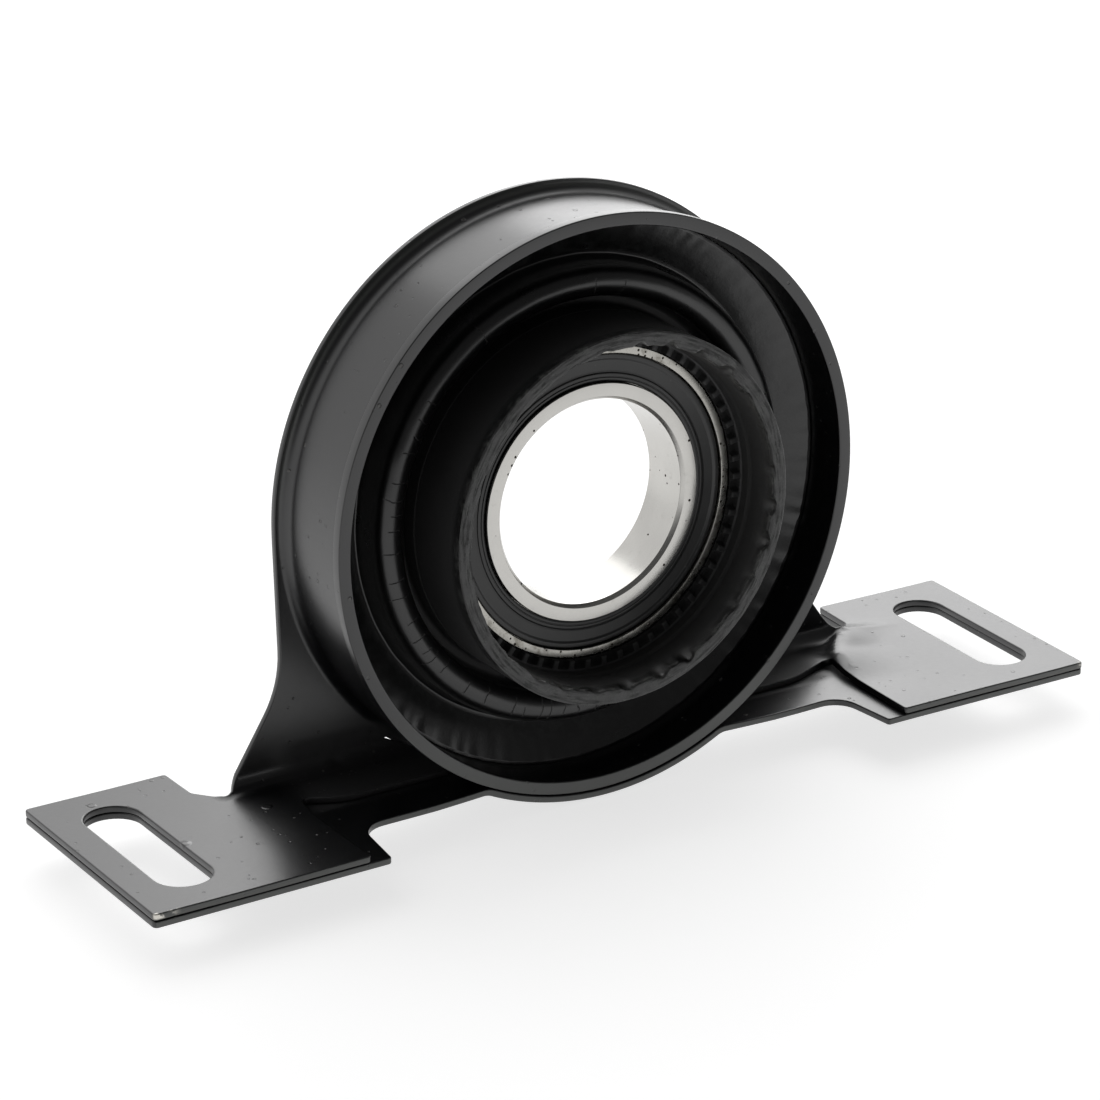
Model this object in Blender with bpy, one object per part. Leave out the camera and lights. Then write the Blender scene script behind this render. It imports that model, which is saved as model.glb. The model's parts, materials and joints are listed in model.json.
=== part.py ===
"""Driveshaft centre bearing: a sealed ball bearing in a rubber spring and a pressed-steel bracket.

The shaft runs along Y. The open front of the drum faces -Y, the feet lie along X, and Z is up.
The origin is at the lowest point of the part, under the shaft axis and midway along the feet's depth.
Lengths along the shaft are counted backwards from the front plane of the drum's lip.
"""
import math

import bmesh
import bpy

MM = 0.001

# Ball bearing, thin section
SHAFT_BORE_D = 40.0 * MM
BEARING_SECTION = 11.0 * MM
BEARING_WIDTH = 12.0 * MM
BEARING_SETBACK = 3.8 * MM
RING_CHAMFER = 0.6 * MM
INNER_LAND_T = 3.2 * MM
INNER_SHOULDER_T = 4.1 * MM
OUTER_LAND_T = 2.1 * MM
OUTER_SHOULDER_T = 3.1 * MM
SEAL_LAND_W = 1.7 * MM
BALL_D = 6.35 * MM
BALL_COUNT = 16
BALL_GAP = 0.2 * MM
GROOVE_CONFORMITY = 0.52
CAGE_T = 0.6 * MM
CAGE_POCKET_GAP = 0.15 * MM
CAGE_SIDE_GAP = 0.6 * MM
CAGE_SPLIT_GAP = 0.1 * MM
SEAL_T = 0.8 * MM
SEAL_RECESS = 0.5 * MM
SEAL_EDGE_GAP = 0.15 * MM
SEAL_LIP_GAP = 0.2 * MM
SEAL_RIB_W = 1.2 * MM
SEAL_RIB_H = 0.3 * MM

# Rubber spring
RUBBER_FIT_GAP = 0.15 * MM
HUB_WALL = 5.0 * MM
COLLAR_REACH = 7.5 * MM
COLLAR_LIP_T = 1.1 * MM
COLLAR_SHOULDER_WALL = 3.1 * MM
COLLAR_SHOULDER_Y = 0.1 * MM
RETAINER_GRIP = 0.4 * MM
RETAINER_T = 1.5 * MM
RETAINER_LAND_W = 1.9 * MM
REAR_GRIP = 1.1 * MM
REAR_LIP_T = 1.0 * MM
POCKET_COUNT = 54
POCKET_W = 1.8 * MM
POCKET_WALL = 3.8 * MM
POCKET_DEPTH = 0.9 * MM
ROLL_R = 3.0 * MM
ROLL_CREST_Y = 5.9 * MM
MEMBRANE_T = 2.0 * MM
VALLEY_Y = 12.9 * MM
VALLEY_CHAMFER = 0.8 * MM
ROLL_FOOT = 0.6 * MM
SKIN_T = 1.75 * MM
SKIN_FRONT_Y = 8.0 * MM
ROOT_CONE = 4.7 * MM
ROOT_BACK_T = 3.5 * MM
SKIN_BACK_SETBACK = 2.0 * MM

# Housing bracket, upper pressing
SHEET_T = 1.3 * MM
DRUM_BORE_R = 53.9 * MM
DRUM_DEPTH = 23.2 * MM
LIP_DEPTH = 2.4 * MM
LIP_ROUND = 0.6 * MM
FLANGE_BEND_R = 2.0 * MM
FLANGE_LAND_W = 0.5 * MM
AXIS_ABOVE_FEET = 48.8 * MM
GUSSET_WAIST_X = 57.3 * MM
GUSSET_WAIST_DROP = 29.9 * MM
GUSSET_FILLET_R = 22.0 * MM
GUSSET_ROOT_X = 68.0 * MM
FOOT_BEND_R = 2.0 * MM
STRIP_FRONT_Y = 13.2 * MM
STRIP_ARCH_Y = 9.4 * MM
STRIP_CORNER_R = 2.5 * MM
ARCH_CLEARANCE = 0.6 * MM
ARCH_TAPER = 1.8 * MM
FOOT_OUT_X = 104.0 * MM
FOOT_IN_X = 60.0 * MM
FOOT_FRONT_Y = -16.0 * MM
FOOT_BACK_Y = 36.5 * MM
FOOT_NOTCH_X = 75.0 * MM
NOTCH_R = 4.8 * MM
FOOT_CORNER_R = 0.6 * MM
SLOT_W = 11.0 * MM
SLOT_L = 38.5 * MM
SLOT_X = 92.0 * MM

# Base strap, lower pressing
LAYER_GAP = 0.1 * MM
SADDLE_GAP = 0.3 * MM
SADDLE_BEND_R = 4.0 * MM
STRAP_FRONT_Y = -1.2 * MM
STRAP_BACK_Y = 17.5 * MM
STRAP_TOE_X = 56.3 * MM
STRAP_NECK_X = 53.0 * MM
STRAP_NECK_R = 5.0 * MM
WAIST_END_X = 46.0 * MM

# Facets, with an even number of them round each ring
RING_SEGMENTS = 54
BEND_STEPS = 3
CAGE_ARC_STEPS = 6
GROOVE_STEPS = 4
ROLL_STEPS = 4
BALL_SEGMENTS = 8
BALL_RINGS = 6
SHARP_ANGLE = 30.0

# Sizes that follow from the ones above
BORE_R = SHAFT_BORE_D / 2
BEARING_R = BORE_R + BEARING_SECTION
INNER_LAND_R = BORE_R + INNER_LAND_T
INNER_SHOULDER_R = BORE_R + INNER_SHOULDER_T
OUTER_LAND_R = BEARING_R - OUTER_LAND_T
OUTER_SHOULDER_R = BEARING_R - OUTER_SHOULDER_T
PITCH_R = (INNER_SHOULDER_R + OUTER_SHOULDER_R) / 2
BALL_R = BALL_D / 2
GROOVE_R = BALL_D * GROOVE_CONFORMITY
HALF_WIDTH = BEARING_WIDTH / 2
BEARING_MID_Y = BEARING_SETBACK + HALF_WIDTH
DRUM_R = DRUM_BORE_R + SHEET_T
LIP_R = DRUM_R + SHEET_T
FLANGE_R = DRUM_R + FLANGE_BEND_R + FLANGE_LAND_W
FOOT_MID_Y = (FOOT_FRONT_Y + FOOT_BACK_Y) / 2
FOOT_TOP_Z = -AXIS_ABOVE_FEET
STRAP_TOP_Z = FOOT_TOP_Z - SHEET_T - LAYER_GAP
SADDLE_R = LIP_R + SADDLE_GAP
AXIS_Z = SADDLE_R + SHEET_T


def arc(centre, radius, start, end, steps):
    """Points on a circular arc, with both ends, for angles in degrees."""
    points = []
    for step in range(steps + 1):
        angle = math.radians(start + (end - start) * step / steps)
        points.append((centre[0] + radius * math.cos(angle), centre[1] + radius * math.sin(angle)))
    return points


def filleted(corners, steps=BEND_STEPS):
    """Outline through (x, y, radius) corners, each rounded as far as its edges allow."""
    outline = []
    for index, (x, y, radius) in enumerate(corners):
        before = corners[index - 1]
        after = corners[(index + 1) % len(corners)]
        if radius == 0:
            outline.append((x, y))
            continue
        to_before = (before[0] - x, before[1] - y)
        to_after = (after[0] - x, after[1] - y)
        length_before = math.hypot(*to_before)
        length_after = math.hypot(*to_after)
        unit_before = (to_before[0] / length_before, to_before[1] / length_before)
        unit_after = (to_after[0] / length_after, to_after[1] / length_after)
        cosine = unit_before[0] * unit_after[0] + unit_before[1] * unit_after[1]
        half = math.acos(max(-1.0, min(1.0, cosine))) / 2
        reach = min(radius / math.tan(half), 0.45 * length_before, 0.45 * length_after)
        size = reach * math.tan(half)
        bisector = (unit_before[0] + unit_after[0], unit_before[1] + unit_after[1])
        scale = size / math.sin(half) / math.hypot(*bisector)
        centre = (x + bisector[0] * scale, y + bisector[1] * scale)
        start = (x + unit_before[0] * reach, y + unit_before[1] * reach)
        end = (x + unit_after[0] * reach, y + unit_after[1] * reach)
        first = math.degrees(math.atan2(start[1] - centre[1], start[0] - centre[0]))
        last = math.degrees(math.atan2(end[1] - centre[1], end[0] - centre[0]))
        sweep = (last - first + 180) % 360 - 180
        outline.extend(arc(centre, size, first, first + sweep, steps))
    return outline


def surface_material(name, colour, roughness, metallic):
    """Plain Principled material for one kind of surface."""
    material = bpy.data.materials.new(name)
    material.use_nodes = True
    shader = material.node_tree.nodes["Principled BSDF"]
    shader.inputs["Base Color"].default_value = (*colour, 1.0)
    shader.inputs["Roughness"].default_value = roughness
    shader.inputs["Metallic"].default_value = metallic
    return material


def closed_mesh(bm, name):
    """Mesh of a closed solid, with its faces pointing out."""
    bmesh.ops.recalc_face_normals(bm, faces=bm.faces)
    if bm.calc_volume(signed=True) < 0:
        bmesh.ops.reverse_faces(bm, faces=bm.faces)
    mesh = bpy.data.meshes.new(name)
    bm.to_mesh(mesh)
    bm.free()
    return mesh


def finish(bm, name, material, parent, location=(0, 0, 0)):
    """Turn a bmesh into a smooth-shaded object under its parent."""
    mesh = closed_mesh(bm, name)
    mesh.materials.append(material)
    mesh.shade_smooth()
    mesh.set_sharp_from_angle(angle=math.radians(SHARP_ANGLE))
    return place(mesh, name, parent, location)


def place(mesh, name, parent, location):
    """Add one object that uses this mesh."""
    piece = bpy.data.objects.new(name, mesh)
    bpy.context.scene.collection.objects.link(piece)
    piece.parent = parent
    piece.location = location
    return piece


def empty(name, parent, location):
    """Add an empty that carries a group of pieces."""
    return place(None, name, parent, location)


def spin_profile(bm, profile, closed):
    """Spin (radius, along) points about the Y axis into a ring."""
    points = [bm.verts.new((radius, along, 0.0)) for radius, along in profile]
    edges = [bm.edges.new(pair) for pair in zip(points, points[1:])]
    if closed:
        edges.append(bm.edges.new((points[-1], points[0])))
    bmesh.ops.spin(
        bm,
        geom=points + edges,
        cent=(0, 0, 0),
        axis=(0, 1, 0),
        angle=math.tau,
        steps=RING_SEGMENTS,
        use_merge=True,
    )


def turned(name, profile, material, parent, location=(0, 0, 0)):
    """Ring turned from a closed (radius, along) outline."""
    bm = bmesh.new()
    spin_profile(bm, profile, closed=True)
    return finish(bm, name, material, parent, location)


def prism(bm, outline, rise):
    """Extrude a flat outline of (x, y, z) points by one vector."""
    base = bm.faces.new([bm.verts.new(point) for point in outline])
    top = bmesh.ops.extrude_face_region(bm, geom=[base])["geom"]
    risen = [item for item in top if isinstance(item, bmesh.types.BMVert)]
    bmesh.ops.translate(bm, verts=risen, vec=rise)


def cutter(bm, name, parent, location=(0, 0, 0)):
    """A hidden solid that only shapes other pieces."""
    piece = place(closed_mesh(bm, name), name, parent, location)
    piece.hide_render = True
    piece.display_type = "WIRE"
    return piece


def combine(piece, tool, operation):
    """Add an exact Boolean modifier."""
    modifier = piece.modifiers.new(tool.name, "BOOLEAN")
    modifier.operation = operation
    modifier.solver = "EXACT"
    modifier.object = tool


def fold_sheet(bm, upper, lower, faces, joined=()):
    """Close a folded sheet: both skins, and a wall along each free edge."""
    edges = [pair for face in faces for pair in zip(face, face[1:] + face[:1])]
    known = set(edges)
    for face in faces:
        bm.faces.new([upper[key] for key in face])
        bm.faces.new([lower[key] for key in reversed(face)])
    for first, second in edges:
        if (second, first) in known or (first in joined and second in joined):
            continue
        bm.faces.new((upper[second], upper[first], lower[first], lower[second]))


def drum_profile():
    """Skin of the drum from the flange's front edge, round the folded lip, to its back edge."""
    bend = (DRUM_R + FLANGE_BEND_R, DRUM_DEPTH - SHEET_T - FLANGE_BEND_R)
    profile = [(FLANGE_R, DRUM_DEPTH - SHEET_T)]
    profile += arc(bend, FLANGE_BEND_R, 90, 180, BEND_STEPS)
    profile += [(DRUM_R, LIP_DEPTH), (LIP_R - LIP_ROUND, LIP_DEPTH)]
    profile += [(LIP_R, LIP_DEPTH - LIP_ROUND), (LIP_R, LIP_ROUND)]
    profile += [(LIP_R - LIP_ROUND, 0.0), (DRUM_BORE_R + LIP_ROUND, 0.0), (DRUM_BORE_R, LIP_ROUND)]
    profile += arc(bend, FLANGE_BEND_R + SHEET_T, 180, 90, BEND_STEPS)
    profile.append((FLANGE_R, DRUM_DEPTH))
    return profile


def rim_loop(bm, along):
    """Open edge of the spun skin at one depth, in order of angle from +X towards +Z."""
    points = [v for v in bm.verts if v.is_boundary and abs(v.co.y - along) < SHEET_T / 4]
    return sorted(points, key=lambda v: round(math.atan2(v.co.z, v.co.x) % math.tau, 4) % 6.283)


def gusset_stations(side):
    """Steps of the flange's edge that one gusset grows from, going down from the drum's side."""
    arch_angle = math.degrees(math.asin(min((AXIS_ABOVE_FEET - FOOT_BEND_R) / FLANGE_R, 1.0)))
    last = math.ceil(arch_angle * RING_SEGMENTS / 360) - 1
    if side > 0:
        return [RING_SEGMENTS - step for step in range(1, last + 1)]
    return [RING_SEGMENTS // 2 + step for step in range(1, last + 1)]


def gusset_edge(rim_x, rim_z):
    """Curved outer edge of the right gusset, between the flange and the bend line."""
    corners = [
        (rim_x, rim_z, 0),
        (GUSSET_WAIST_X, -GUSSET_WAIST_DROP, GUSSET_FILLET_R),
        (GUSSET_ROOT_X, FOOT_TOP_Z + FOOT_BEND_R, 0),
    ]
    return filleted(corners, 2 * BEND_STEPS)[1:-1]


def foot_outline(arch_x, bend_y):
    """Plan of the right foot and its strip, from the arch round to the relief notch."""
    corners = [
        (arch_x - ARCH_TAPER, STRIP_ARCH_Y, 0),
        (FOOT_IN_X, STRIP_FRONT_Y, STRIP_CORNER_R),
        (FOOT_IN_X, FOOT_FRONT_Y, FOOT_CORNER_R),
        (FOOT_OUT_X, FOOT_FRONT_Y, FOOT_CORNER_R),
        (FOOT_OUT_X, FOOT_BACK_Y, FOOT_CORNER_R),
        (FOOT_NOTCH_X, FOOT_BACK_Y, FOOT_CORNER_R),
        (FOOT_NOTCH_X, bend_y, NOTCH_R),
        (GUSSET_ROOT_X, bend_y, 0),
        (arch_x, bend_y, 0),
    ]
    return filleted(corners)[:-2]


def add_gusset(bm, side, front_rim, back_rim):
    """Gusset, bend, strip and foot on one side, joined to both edges of the flange."""
    face_y = DRUM_DEPTH - SHEET_T
    bend_y = face_y - FOOT_BEND_R
    bend_z = FOOT_TOP_Z + FOOT_BEND_R
    arch_x = math.sqrt(max(FLANGE_R ** 2 - bend_z ** 2, 0.0)) + ARCH_CLEARANCE
    rim = [("rim", step) for step in range(len(front_rim))]
    upper = dict(zip(rim, front_rim))
    lower = dict(zip(rim, back_rim))

    def add(key, x, y, z, across_y, across_z):
        upper[key] = bm.verts.new((side * x, y, z))
        lower[key] = bm.verts.new((side * x, y + across_y, z + across_z))
        return key

    edge = []
    for index, (x, z) in enumerate(gusset_edge(side * front_rim[0].co.x, front_rim[0].co.z)):
        edge.append(add(("edge", index), x, face_y, z, SHEET_T, 0))
    for step, (out, up) in enumerate(arc((0, 0), 1.0, 0, -90, BEND_STEPS)):
        for name, x in (("root", GUSSET_ROOT_X), ("arch", arch_x)):
            y = bend_y + FOOT_BEND_R * out
            z = bend_z + FOOT_BEND_R * up
            add((name, step), x, y, z, SHEET_T * out, SHEET_T * up)
    foot = []
    for index, (x, y) in enumerate(foot_outline(arch_x, bend_y)):
        foot.append(add(("foot", index), x, y, FOOT_TOP_Z, 0, -SHEET_T))

    faces = [rim + [("arch", 0), ("root", 0)] + edge[::-1]]
    for step in range(BEND_STEPS):
        faces.append([("root", step), ("arch", step), ("arch", step + 1), ("root", step + 1)])
    faces.append([("root", BEND_STEPS), ("arch", BEND_STEPS)] + foot)
    fold_sheet(bm, upper, lower, faces, joined=set(rim))


def slot_cutters(parent):
    """One long round-ended hole through both layers of each foot."""
    half = SLOT_L / 2 - SLOT_W / 2
    steps = 2 * BEND_STEPS
    outline = arc((0, half), SLOT_W / 2, 0, 180, steps) + arc((0, -half), SLOT_W / 2, 180, 360, steps)
    cutters = []
    for side, name in ((1, "slot_cutter_right"), (-1, "slot_cutter_left")):
        bm = bmesh.new()
        prism(bm, [(x, y, -3 * SHEET_T) for x, y in outline], (0, 0, 6 * SHEET_T))
        location = (side * SLOT_X, FOOT_MID_Y, FOOT_TOP_Z - SHEET_T)
        cutters.append(cutter(bm, name, parent, location))
    return cutters


def close_flange_edge(bm, front_loop, back_loop, gussets):
    """Wall round the flange's edge, left open where a gusset grows from it."""
    for index in range(RING_SEGMENTS):
        after = (index + 1) % RING_SEGMENTS
        if any(index in stations and after in stations for stations in gussets):
            continue
        bm.faces.new((front_loop[index], front_loop[after], back_loop[after], back_loop[index]))


def housing_bracket(material, parent, cutters):
    """Drum, flange, gussets and upper feet, pressed from one sheet."""
    bm = bmesh.new()
    spin_profile(bm, drum_profile(), closed=False)
    front_loop = rim_loop(bm, DRUM_DEPTH - SHEET_T)
    back_loop = rim_loop(bm, DRUM_DEPTH)
    gussets = []
    for side in (1, -1):
        stations = gusset_stations(side)
        add_gusset(bm, side, [front_loop[i] for i in stations], [back_loop[i] for i in stations])
        gussets.append(stations)
    close_flange_edge(bm, front_loop, back_loop, gussets)
    piece = finish(bm, "housing_bracket", material, parent)
    for tool in cutters:
        combine(piece, tool, "DIFFERENCE")
    return piece


def saddle_path():
    """Top and bottom lines of the strap in front view, from the lowest point to the right waist."""
    bend = SADDLE_BEND_R + SHEET_T
    centre_z = STRAP_TOP_Z - bend
    centre_x = math.sqrt(max((SADDLE_R + bend) ** 2 - centre_z ** 2, 0.0))
    lean = math.degrees(math.atan2(centre_x, -centre_z))
    top = arc((0, 0), SADDLE_R, -90, -90 + lean, 2 * BEND_STEPS)
    top += arc((centre_x, centre_z), bend, 90 + lean, 90, BEND_STEPS)[1:]
    low = arc((0, 0), SADDLE_R + SHEET_T, -90, -90 + lean, 2 * BEND_STEPS)
    low += arc((centre_x, centre_z), SADDLE_BEND_R, 90 + lean, 90, BEND_STEPS)[1:]
    return top + [(WAIST_END_X, STRAP_TOP_Z)], low + [(WAIST_END_X, STRAP_TOP_Z - SHEET_T)]


def strap_foot_outline():
    """Plan of the strap's right foot, from the waist's front edge round to its back edge."""
    return filleted([
        (WAIST_END_X, STRAP_FRONT_Y, 0),
        (STRAP_NECK_X, STRAP_FRONT_Y, STRAP_NECK_R),
        (STRAP_TOE_X, FOOT_FRONT_Y, FOOT_CORNER_R),
        (FOOT_OUT_X, FOOT_FRONT_Y, FOOT_CORNER_R),
        (FOOT_OUT_X, FOOT_BACK_Y, FOOT_CORNER_R),
        (FOOT_NOTCH_X, FOOT_BACK_Y, FOOT_CORNER_R),
        (FOOT_NOTCH_X, STRAP_BACK_Y, NOTCH_R),
        (WAIST_END_X, STRAP_BACK_Y, 0),
    ])[1:-1]


def base_strap(material, parent, cutters):
    """Lower layer of both feet, joined by a waist that dips round the drum."""
    bm = bmesh.new()
    top, low = saddle_path()
    upper = {}
    lower = {}
    stations = [(-1, index) for index in reversed(range(1, len(top)))]
    stations += [(1, index) for index in range(len(top))]
    for side, index in stations:
        for edge, y in (("front", STRAP_FRONT_Y), ("back", STRAP_BACK_Y)):
            upper[edge, side, index] = bm.verts.new((side * top[index][0], y, top[index][1]))
            lower[edge, side, index] = bm.verts.new((side * low[index][0], y, low[index][1]))
    faces = []
    for first, second in zip(stations, stations[1:]):
        faces.append([("front", *first), ("front", *second), ("back", *second), ("back", *first)])
    plan = strap_foot_outline()
    end = len(top) - 1
    for side in (1, -1):
        for index, (x, y) in enumerate(plan):
            upper["foot", side, index] = bm.verts.new((side * x, y, STRAP_TOP_Z))
            lower["foot", side, index] = bm.verts.new((side * x, y, STRAP_TOP_Z - SHEET_T))
        foot = [("front", side, end)] + [("foot", side, index) for index in range(len(plan))]
        foot.append(("back", side, end))
        faces.append(foot if side > 0 else foot[::-1])
    fold_sheet(bm, upper, lower, faces)
    piece = finish(bm, "base_strap", material, parent)
    for tool in cutters:
        combine(piece, tool, "DIFFERENCE")
    return piece


def collar_section(hub_r):
    """Front of the collar and the hub's side, down to the bottom of the inner valley."""
    return [
        (hub_r - COLLAR_LIP_T, -COLLAR_REACH),
        (hub_r, -COLLAR_REACH),
        (hub_r, VALLEY_Y - VALLEY_CHAMFER),
        (hub_r + VALLEY_CHAMFER, VALLEY_Y),
    ]


def roll_section(roll_r, radius, start, end, steps):
    """One side of the rolled convolute, with a small foot at each end."""
    reach = math.copysign(radius + ROLL_FOOT, start - end)
    crest = arc((roll_r, ROLL_CREST_Y + ROLL_R), radius, start, end, steps)
    return [(roll_r + reach, VALLEY_Y)] + crest + [(roll_r - reach, VALLEY_Y)]


def skin_section(skin_r, root_r):
    """Tapered root and the skin that lines the drum, round to the back of the root."""
    back_y = DRUM_DEPTH - SKIN_BACK_SETBACK
    return [
        (root_r - VALLEY_CHAMFER, VALLEY_Y),
        (root_r, SKIN_FRONT_Y + ROOT_CONE),
        (skin_r - SKIN_T, SKIN_FRONT_Y),
        (skin_r, SKIN_FRONT_Y),
        (skin_r, back_y),
        (skin_r - ROOT_BACK_T, back_y),
        (root_r + MEMBRANE_T, VALLEY_Y + 2 * MEMBRANE_T),
        (root_r - MEMBRANE_T, VALLEY_Y + MEMBRANE_T),
    ]


def seat_section(hub_r):
    """Back of the hub, the seat of the outer ring, and the lip that keeps the ring in."""
    seat_r = BEARING_R + RUBBER_FIT_GAP
    seat_front = BEARING_SETBACK - RUBBER_FIT_GAP
    seat_back = BEARING_SETBACK + BEARING_WIDTH + RUBBER_FIT_GAP
    retainer_r = BEARING_R - RETAINER_GRIP
    retainer_front = BEARING_SETBACK - RETAINER_T
    return [
        (hub_r + MEMBRANE_T, VALLEY_Y + MEMBRANE_T),
        (hub_r, VALLEY_Y + MEMBRANE_T),
        (hub_r - MEMBRANE_T, seat_back + REAR_LIP_T),
        (BEARING_R - REAR_GRIP, seat_back + REAR_LIP_T),
        (BEARING_R - REAR_GRIP, seat_back),
        (seat_r, seat_back),
        (seat_r, seat_front),
        (retainer_r, seat_front),
        (retainer_r, retainer_front),
        (retainer_r + RETAINER_LAND_W, retainer_front),
        (hub_r - COLLAR_SHOULDER_WALL, COLLAR_SHOULDER_Y),
    ]


def rubber_profile():
    """Closed section of the rubber spring, from the collar's lip round to its shoulder."""
    hub_r = BEARING_R + HUB_WALL
    skin_r = DRUM_BORE_R - RUBBER_FIT_GAP
    root_r = skin_r - SKIN_T - ROOT_CONE
    roll_r = (hub_r + root_r) / 2
    section = collar_section(hub_r)
    section += roll_section(roll_r, ROLL_R, 180, 360, ROLL_STEPS)
    section += skin_section(skin_r, root_r)
    section += roll_section(roll_r, ROLL_R - MEMBRANE_T, 360, 180, ROLL_STEPS // 2)
    return section + seat_section(hub_r)


def pocket_cutter(parent):
    """Ring of square pockets that make the castellated lip round the bearing."""
    outer = BEARING_R + HUB_WALL - POCKET_WALL
    inner = BEARING_R - RETAINER_GRIP - RETAINER_T
    front = BEARING_SETBACK - 2 * RETAINER_T
    depth = 2 * RETAINER_T + POCKET_DEPTH
    bm = bmesh.new()
    for index in range(POCKET_COUNT):
        angle = math.tau * index / POCKET_COUNT
        outline = []
        for radius, side in ((inner, -1), (outer, -1), (outer, 1), (inner, 1)):
            x = radius * math.cos(angle) - side * POCKET_W / 2 * math.sin(angle)
            z = radius * math.sin(angle) + side * POCKET_W / 2 * math.cos(angle)
            outline.append((x, front, z))
        prism(bm, outline, (0, depth, 0))
    return cutter(bm, "pocket_cutter", parent)


def rubber_mount(material, parent):
    """Moulded rubber spring between the drum and the bearing."""
    piece = turned("rubber_mount", rubber_profile(), material, parent)
    combine(piece, pocket_cutter(parent), "DIFFERENCE")
    return piece


def ring_profile(bore, land, shoulder, groove_centre, outward):
    """Section of one race; outward is 1 for the outer ring and -1 for the inner ring."""
    shoulder_half = HALF_WIDTH - SEAL_LAND_W
    rise = abs(shoulder - groove_centre)
    edge = math.degrees(math.acos(min(rise / GROOVE_R, 1.0)))
    groove = arc((groove_centre, 0), GROOVE_R, -edge, edge, GROOVE_STEPS)
    if outward < 0:
        groove = [(2 * groove_centre - radius, along) for radius, along in groove]
    profile = [(bore, -HALF_WIDTH + RING_CHAMFER), (bore - outward * RING_CHAMFER, -HALF_WIDTH)]
    profile += [(land, -HALF_WIDTH), (land, -shoulder_half), (shoulder, -shoulder_half)]
    profile += groove
    profile += [(shoulder, shoulder_half), (land, shoulder_half), (land, HALF_WIDTH)]
    profile += [(bore - outward * RING_CHAMFER, HALF_WIDTH), (bore, HALF_WIDTH - RING_CHAMFER)]
    return profile


def bearing_rings(material, parent):
    """Inner and outer race, each with a groove a little wider than the ball."""
    reach = BALL_R + BALL_GAP - GROOVE_R
    outer = ring_profile(BEARING_R, OUTER_LAND_R, OUTER_SHOULDER_R, PITCH_R + reach, 1)
    inner = ring_profile(BORE_R, INNER_LAND_R, INNER_SHOULDER_R, PITCH_R - reach, -1)
    turned("outer_ring", outer, material, parent)
    turned("inner_ring", inner, material, parent)


def bearing_seals(material, parent):
    """Front and rear seal, each with a raised rib at its edge and at its lip."""
    face = HALF_WIDTH - SEAL_RECESS
    back = face - SEAL_T
    outside = OUTER_LAND_R - SEAL_EDGE_GAP
    inside = INNER_LAND_R + SEAL_LIP_GAP
    section = [
        (inside, back),
        (inside, face),
        (inside + SEAL_RIB_W, face - SEAL_RIB_H),
        (outside - SEAL_RIB_W, face - SEAL_RIB_H),
        (outside - SEAL_RIB_W + SEAL_RIB_H, face),
        (outside, face),
        (outside, back),
    ]
    turned("front_seal", [(radius, -along) for radius, along in section], material, parent)
    turned("rear_seal", section, material, parent)


def cage_ribbon(bm, side):
    """One half of the cage: a flat ribbon that rises over each ball."""
    low_r = BALL_R + CAGE_POCKET_GAP
    high_r = low_r + CAGE_T
    flat = CAGE_SPLIT_GAP / 2
    low_start = math.degrees(math.asin(flat / low_r))
    high_start = math.degrees(math.asin((flat + CAGE_T) / high_r))
    low = arc((0, 0), low_r, 180 - low_start, low_start, CAGE_ARC_STEPS)
    high = arc((0, 0), high_r, 180 - high_start, high_start, CAGE_ARC_STEPS)
    radii = (INNER_SHOULDER_R + CAGE_SIDE_GAP, OUTER_SHOULDER_R - CAGE_SIDE_GAP)
    stations = []
    for ball in range(BALL_COUNT):
        middle = math.tau * ball / BALL_COUNT
        for (low_s, low_a), (high_s, high_a) in zip(low, high):
            corners = []
            for radius, along, shift in (
                (radii[0], low_a, low_s),
                (radii[1], low_a, low_s),
                (radii[1], high_a, high_s),
                (radii[0], high_a, high_s),
            ):
                angle = middle + shift / PITCH_R
                place_x = radius * math.cos(angle)
                place_z = radius * math.sin(angle)
                corners.append(bm.verts.new((place_x, side * along, place_z)))
            stations.append(corners)
    for first, second in zip(stations, stations[1:] + stations[:1]):
        for corner in range(4):
            after = (corner + 1) % 4
            bm.faces.new((first[corner], second[corner], second[after], first[after]))


def bearing_cage(material, parent):
    """Two ribbon halves that meet on the flats between the balls."""
    for side, name in ((-1, "cage_front"), (1, "cage_rear")):
        bm = bmesh.new()
        cage_ribbon(bm, side)
        finish(bm, name, material, parent)


def bearing_balls(material, parent):
    """Balls on the pitch circle, all from one mesh."""
    bm = bmesh.new()
    bmesh.ops.create_uvsphere(bm, u_segments=BALL_SEGMENTS, v_segments=BALL_RINGS, radius=BALL_R)
    mesh = closed_mesh(bm, "ball")
    mesh.materials.append(material)
    mesh.shade_smooth()
    for index in range(BALL_COUNT):
        angle = math.tau * index / BALL_COUNT
        location = (PITCH_R * math.cos(angle), 0, PITCH_R * math.sin(angle))
        place(mesh, f"ball_{index + 1:02d}", parent, location)


def build():
    """Model the whole part."""
    for item in list(bpy.data.objects):
        bpy.data.objects.remove(item, do_unlink=True)
    paint = surface_material("black_satin_paint", (0.012, 0.012, 0.013), 0.38, 0.0)
    rubber = surface_material("black_rubber", (0.010, 0.010, 0.011), 0.62, 0.0)
    steel = surface_material("bearing_steel", (0.62, 0.61, 0.59), 0.22, 1.0)
    seal = surface_material("seal_rubber", (0.014, 0.014, 0.015), 0.50, 0.0)
    cage = surface_material("cage_steel", (0.45, 0.45, 0.46), 0.35, 1.0)

    shaft_axis = empty("shaft_axis", None, (0, -FOOT_MID_Y, AXIS_Z))
    bearing = empty("bearing_centre", shaft_axis, (0, BEARING_MID_Y, 0))
    cutters = slot_cutters(shaft_axis)
    housing_bracket(paint, shaft_axis, cutters)
    base_strap(paint, shaft_axis, cutters)
    rubber_mount(rubber, shaft_axis)
    bearing_rings(steel, bearing)
    bearing_seals(seal, bearing)
    bearing_cage(cage, bearing)
    bearing_balls(steel, bearing)


build()
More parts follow.
